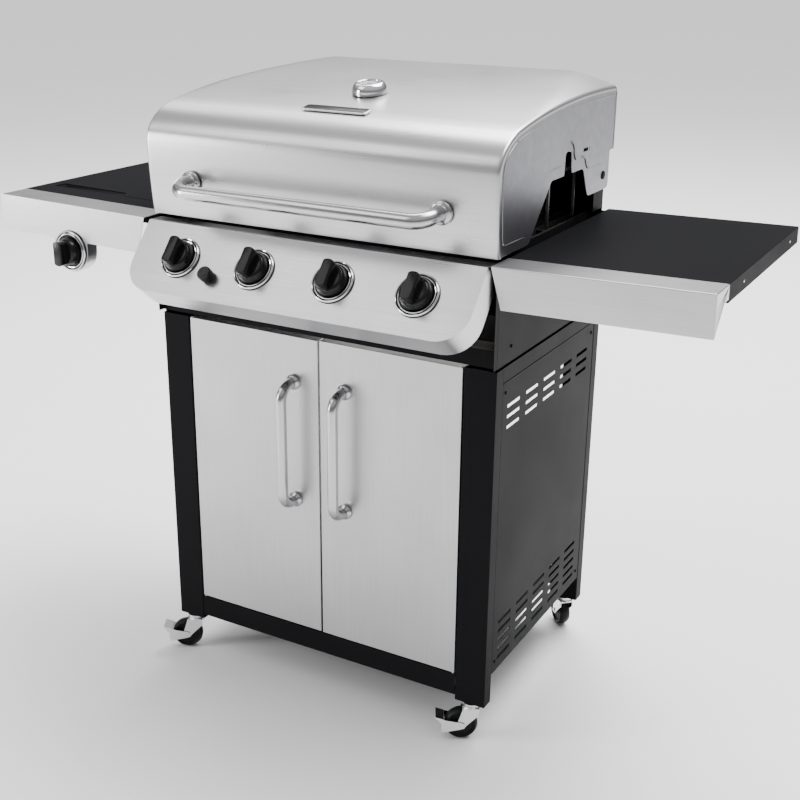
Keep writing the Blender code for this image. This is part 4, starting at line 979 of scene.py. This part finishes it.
def make_hood_skin(hem):
    """One sheet lofted from end to end, rolled inwards round both ends."""
    columns = [(HOOD_HALF * share, 0.0) for share in (
        0, 0.3, 0.55, 0.70, 0.74, 0.78, 0.81, 0.84, 0.87, 0.895, 0.92, 0.94, 0.957, 0.972,
    )]
    for k in range(8):
        turn = math.radians(90 * k / 7)
        columns.append((HOOD_HALF - hem * (1 - math.sin(turn)), hem * (1 - math.cos(turn))))
    columns.append((HOOD_HALF, hem + 0.003))
    columns = [(-x, inwards) for x, inwards in columns[:0:-1]] + columns
    shape = bmesh.new()
    rows = []
    for x, inwards in columns:
        rows.append([shape.verts.new((x, spot.x, spot.y)) for spot in hood_run(x, inwards)])
    for left, right in zip(rows, rows[1:]):
        for i in range(len(left) - 1):
            shape.faces.new((left[i], right[i], right[i + 1], left[i + 1]))
    piece = from_bmesh("hood_skin_visual", shape, 60)
    wall = piece.modifiers.new("wall", "SOLIDIFY")
    wall.thickness = HOOD_WALL
    wall.offset = -1
    wall.use_even_offset = True
    piece = frozen(piece)
    piece.data.shade_smooth()
    piece.data.set_sharp_from_angle(angle=math.radians(50))
    dressed(piece, "steel_across", "hood", "stainless", "hood_skin")


def bead(name, side_sign, points, radius):
    """A pressed line on a hood end, through (y, height) points."""
    x = side_sign * (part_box("hood_end_right")[HIGH].x - radius * 0.2)
    spots = [(x, DOOR_PLANE + y, SKIN_LOW.z + z) for y, z in points]
    return tube(name, spots, [radius * 0.4] + [radius] * (len(spots) - 2) + [radius * 0.4], 4)


def make_hood_ends():
    hem_line = [
        (spot.x - DOOR_PLANE, spot.y - SKIN_LOW.z)
        for spot in hood_run(HOOD_HALF, 0.0150) if spot.y > SKIN_LOW.z + 0.018
    ][:-1]
    bottom = [(0.082, 0.0165), (0.045, 0.0168), (0.0100, 0.0172), (0.0045, 0.020)]
    first_curl = bend((0.2560, 0.1425), (0.2730, 0.1400), (0.2760, 0.1250), 6)
    first_curl += bend((0.2760, 0.1250), (0.2775, 0.1120), (0.2870, 0.1085), 6)[1:]
    second_curl = bend((0.3100, 0.1105), (0.3290, 0.1100), (0.3320, 0.0980), 6)
    second_curl += bend((0.3320, 0.0980), (0.3360, 0.0870), (0.3520, 0.0858), 6)[1:]
    for side, sign in SIDES.items():
        node = f"hood_end_{side}"
        own_finish(node, "hood_end", 0.0004)
        lines = [
            bead("hem_line", sign, bottom + hem_line, 0.0011),
            bead("front_seam", sign, [(0.1815, 0.1062), (0.20, 0.1066), (0.2237, 0.1068)], 0.0009),
            bead("rear_seam", sign, [(0.3536, 0.0848), (0.39, 0.0846), (0.4176, 0.0842)], 0.0009),
            bead("first_curl", sign, first_curl, 0.0022),
            bead("second_curl", sign, second_curl, 0.0022),
        ]
        dressed(joined(f"hood_end_beads_{side}", lines), "hood_end", "hood", "grey_steel")
        # A black plate just inside each hood end, behind its slot: painted shade, so that the slot reads dark.
        x0, x1 = sorted((sign * (HOOD_HALF - 0.0062), sign * (HOOD_HALF - 0.0050)))
        y, z = DOOR_PLANE + 0.3336, SKIN_LOW.z + 0.1196
        corners = [(x0, y - 0.020), (x1, y - 0.020), (x1, y + 0.020), (x0, y + 0.020)]
        backing = slab(f"slot_backing_{side}", corners, z - 0.009, z + 0.009, Matrix.Identity(4), 0.0002)
        dressed(backing, "paint", "hood", "black_paint")
        # The slit is a dark stroke in the print colour: painted shade for the dark of the opening.
        slit = bead("slit", sign, [(0.0385, 0.1672), (0.0433, 0.1691), (0.0481, 0.1708)], 0.0010)
        slit.name = f"hood_end_slit_{side}"
        dressed(slit, "needle", "hood", "black_paint")


def make_hood_handle():
    """A bent tube carried by two flared feet."""
    low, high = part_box("hood_handle")
    foot, bar, corner, sink = 0.019, 0.0122, 0.030, 0.007
    half = high.x - foot
    z = high.z - foot
    front = low.y + bar
    flare = ((0.0, 0.95), (0.0008, 1.0), (0.0034, 1.0), (0.0048, 0.95), (0.0058, 0.84), (0.0066, 0.70))
    flare += ((0.0080, 0.645),)
    points, radii = [], []
    for sign in (-1, 1):
        run = [(sign * half, high.y - deep, z) for deep, _ in flare]
        sizes = [foot * share for _, share in flare]
        for k in range(17):
            turn = math.radians(90 * k / 16)
            run.append((
                sign * (half - corner * (1 - math.cos(turn))), front + corner * (1 - math.sin(turn)),
                z - sink * math.sin(turn),
            ))
            sizes.append(bar)
        if sign > 0:
            run.reverse()
            sizes.reverse()
        points += run
        radii += sizes
    piece = tube("hood_handle_visual", points, radii, 12)
    dressed(piece, "tube", "hood", "handle_steel", "hood_handle")


def make_thermometer():
    """A flared chrome housing with a printed dial under glass."""
    spot, way = on_roof(DOOR_PLANE + 0.170)
    at = aimed(spot, way)
    housing = [
        (0, 0.0010), (0.0293, 0.0010), (0.0300, 0.0016), (0.0302, 0.0040), (0.0298, 0.0082),
        (0.0288, 0.0118), (0.0268, 0.0155), (0.0244, 0.0182), (0.0225, 0.0192), (0.0210, 0.0193),
        (0.0200, 0.0186), (0.0196, 0.0166), (0.0194, 0.0140), (0, 0.0140),
    ]
    dressed(turned("thermometer_visual", housing, 96, at), "chrome", "hood", "chrome", "thermometer")
    face = [(0, 0.0143), (0.0191, 0.0143), (0.0191, 0.0151), (0, 0.0151)]
    dressed(turned("thermometer_dial", face, 72, at), "dial", "hood", "chrome")
    glass = [(0, 0.0166), (0.0194, 0.0166), (0.0194, 0.0174), (0.0150, 0.0181), (0, 0.0186)]
    dressed(turned("thermometer_glass", glass, 72, at), "glass", "hood", "chrome")
    needle = slab("thermometer_needle", [
        (-0.0013, -0.004), (0.0013, -0.004), (0.0003, 0.0135), (-0.0003, 0.0135),
    ], 0.0154, 0.0158, at @ Matrix.Rotation(math.radians(125), 4, "Z"), 0.0001)
    dressed(needle, "needle", "hood", "chrome")
    ticks = []
    for k in range(25):
        turn = math.radians(-135 + 270 * k / 24)
        spot = at @ Vector((0.0160 * math.sin(turn), 0.0160 * math.cos(turn), 0.0151))
        ticks.append((spot, way))
    dot = turned("tick_shape", [(0, 0), (1, 0), (0.9, 0.3), (0, 0.3)], 10, Matrix.Identity(4))
    scattered("thermometer_ticks", dot, ticks, 0.00055, "needle", "hood", "chrome")


def make_name_plate():
    """A blank black badge in a chrome rim."""
    spot, way = on_roof(DOOR_PLANE + 0.063)
    across = Vector((1, 0, 0))
    at = Matrix.Translation(spot) @ Matrix((across, way.cross(across), way)).transposed().to_4x4()
    rim = slab("name_plate_rim", rounded_bar(0.061, 0.0125, 0.006), 0.0012, 0.0042, at, 0.0010)
    dressed(rim, "chrome", "hood", "plate_black", "name_plate")
    face = slab("name_plate_face", rounded_bar(0.0585, 0.0100, 0.0045), 0.0038, 0.0050, at, 0.0005)
    dressed(face, "plastic", "hood", "plate_black")


def make_hood(sizes):
    make_hood_skin(sizes.hem)
    make_hood_ends()
    make_hood_handle()
    make_thermometer()
    make_name_plate()


# ---- side shelves -------------------------------------------------------------------------
def shelf_fold(node):
    """The test for a shelf front's folds: its front upper edge and those at its outer end."""
    low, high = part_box(node)
    end = max(abs(low.x), abs(high.x))

    def fold(a, b):
        on_front = near(a.y, low.y, 3e-4) and near(b.y, low.y, 3e-4)
        upper = min(a.z, b.z) > SHELF_TOP - 0.002
        outer = min(abs(a.x), abs(b.x)) > end - 0.003
        return (on_front and (upper or outer)) or (upper and outer and abs(a.y - b.y) > 0.03)
    return fold


def make_shelves(sizes):
    for side in SIDES:
        node = f"shelf_front_{side}"
        own_finish(node, None, 0.0003, 0.0018, shelf_fold(node))
        own_finish(f"shelf_deck_{side}", "deck", 0.0006)
    own_finish("side_lid", "deck", 0.0006)
    own_finish("side_burner", None, 0.0012)
    at = aimed(joint_place("side_burner_turn"), joint_axis("side_burner_turn"))
    make_bezel("side_bezel", at)
    make_knob("side_knob", at, 0.0255, 0.036)
    make_shelf_screws(sizes.screw)


def make_shelf_screws(radius):
    spots = []
    for side, sign in SIDES.items():
        low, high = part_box(f"shelf_deck_{side}")
        x = (high.x if sign > 0 else low.x) - sign * 0.0012
        for y in (low.y + 0.082, high.y - 0.060):
            spots.append((Vector((x, y, high.z - 0.014)), Vector((sign, 0, 0))))
    scattered(
        "shelf_screws", screw_head("screw_shape"), spots, radius * 0.7, "chrome", "cabinet", "chrome",
    )


# ---- operators ----------------------------------------------------------------------------
class BARBECUE_OT_stage(bpy.types.Operator):
    """Make the floor, the surround, the lights and the camera"""

    bl_idname = "barbecue.stage"
    bl_label = "Studio"

    def execute(self, context):
        make_floor()
        make_sky()
        make_camera()
        make_light("left_softbox", (-2.7, -2.3, 1.2), (0, 0, 0.55), (0.9, 1.5), 65)
        make_light("front_softbox", (-1.9, -2.1, 3.6), (0, -0.2, 0.8), (2.2, 1.8), 26)
        make_light("top_softbox", (0.3, 2.2, 4.4), (0.2, 2.0, 0), (4.2, 3.0), 420)
        make_light("back_softbox", (-2.0, 3.3, 4.2), (0, 0.1, 0.95), (4.6, 1.8), 80)
        make_sun("floor_sun", (0.35, 0.25, 1.0), 2.0, 40)
        return {"FINISHED"}


class BARBECUE_OT_cabinet(bpy.types.Operator):
    """Make the posts, panels, rails, floor and drip tray"""

    bl_idname = "barbecue.cabinet"
    bl_label = "Cabinet"

    def execute(self, context):
        make_cabinet(context.scene.barbecue_sizes)
        return {"FINISHED"}


class BARBECUE_OT_cooking_parts(bpy.types.Operator):
    """Make the firebox, burners, heat plate, grates and warming rack"""

    bl_idname = "barbecue.cooking_parts"
    bl_label = "Cooking parts"

    def execute(self, context):
        make_cooking_parts(context.scene.barbecue_sizes)
        return {"FINISHED"}


class BARBECUE_OT_doors(bpy.types.Operator):
    """Make the two doors and their handles"""

    bl_idname = "barbecue.doors"
    bl_label = "Doors"

    def execute(self, context):
        make_doors(context.scene.barbecue_sizes)
        return {"FINISHED"}


class BARBECUE_OT_casters(bpy.types.Operator):
    """Make the four casters, their wheels and the two brakes"""

    bl_idname = "barbecue.casters"
    bl_label = "Casters"

    def execute(self, context):
        make_casters()
        return {"FINISHED"}


class BARBECUE_OT_control_panel(bpy.types.Operator):
    """Make the control panel with its bezels, knobs and igniter"""

    bl_idname = "barbecue.control_panel"
    bl_label = "Control panel"

    def execute(self, context):
        make_control_panel(context.scene.barbecue_sizes)
        return {"FINISHED"}


class BARBECUE_OT_hood(bpy.types.Operator):
    """Make the hood with its ends, handle, thermometer and blank badge"""

    bl_idname = "barbecue.hood"
    bl_label = "Hood"

    def execute(self, context):
        make_hood(context.scene.barbecue_sizes)
        return {"FINISHED"}


class BARBECUE_OT_shelves(bpy.types.Operator):
    """Make the side shelves, the burner lid and the side burner"""

    bl_idname = "barbecue.shelves"
    bl_label = "Side shelves"

    def execute(self, context):
        make_shelves(context.scene.barbecue_sizes)
        return {"FINISHED"}


OPERATORS = (
    BARBECUE_OT_stage, BARBECUE_OT_cabinet, BARBECUE_OT_cooking_parts, BARBECUE_OT_doors,
    BARBECUE_OT_casters, BARBECUE_OT_control_panel, BARBECUE_OT_hood, BARBECUE_OT_shelves,
)


class BARBECUE_PT_panel(bpy.types.Panel):
    """The barbecue's settings and the operators that make its pieces"""

    bl_idname = "BARBECUE_PT_panel"
    bl_label = "Cabinet Gas Barbecue"
    bl_space_type = "VIEW_3D"
    bl_region_type = "UI"
    bl_category = "Barbecue"

    def draw(self, context):
        for settings in (context.scene.barbecue_finishes, context.scene.barbecue_sizes):
            for name in settings.bl_rna.properties.keys():
                if name not in ("rna_type", "name"):
                    self.layout.prop(settings, name)
        for operator in OPERATORS:
            self.layout.operator(operator.bl_idname)


CLASSES = (BarbecueFinishes, BarbecueSizes, *OPERATORS, BARBECUE_PT_panel)


def register():
    for item in CLASSES:
        bpy.utils.register_class(item)
    bpy.types.Scene.barbecue_finishes = PointerProperty(type=BarbecueFinishes)
    bpy.types.Scene.barbecue_sizes = PointerProperty(type=BarbecueSizes)


def unregister():
    del bpy.types.Scene.barbecue_sizes
    del bpy.types.Scene.barbecue_finishes
    for item in reversed(CLASSES):
        bpy.utils.unregister_class(item)


def main():
    """Makes every piece in order."""
    register()
    FINISHES.update(make_finishes(bpy.context.scene.barbecue_finishes))
    for operator in OPERATORS:
        getattr(bpy.ops.barbecue, operator.bl_idname.split(".")[1])()


if __name__ == "__main__":
    main()
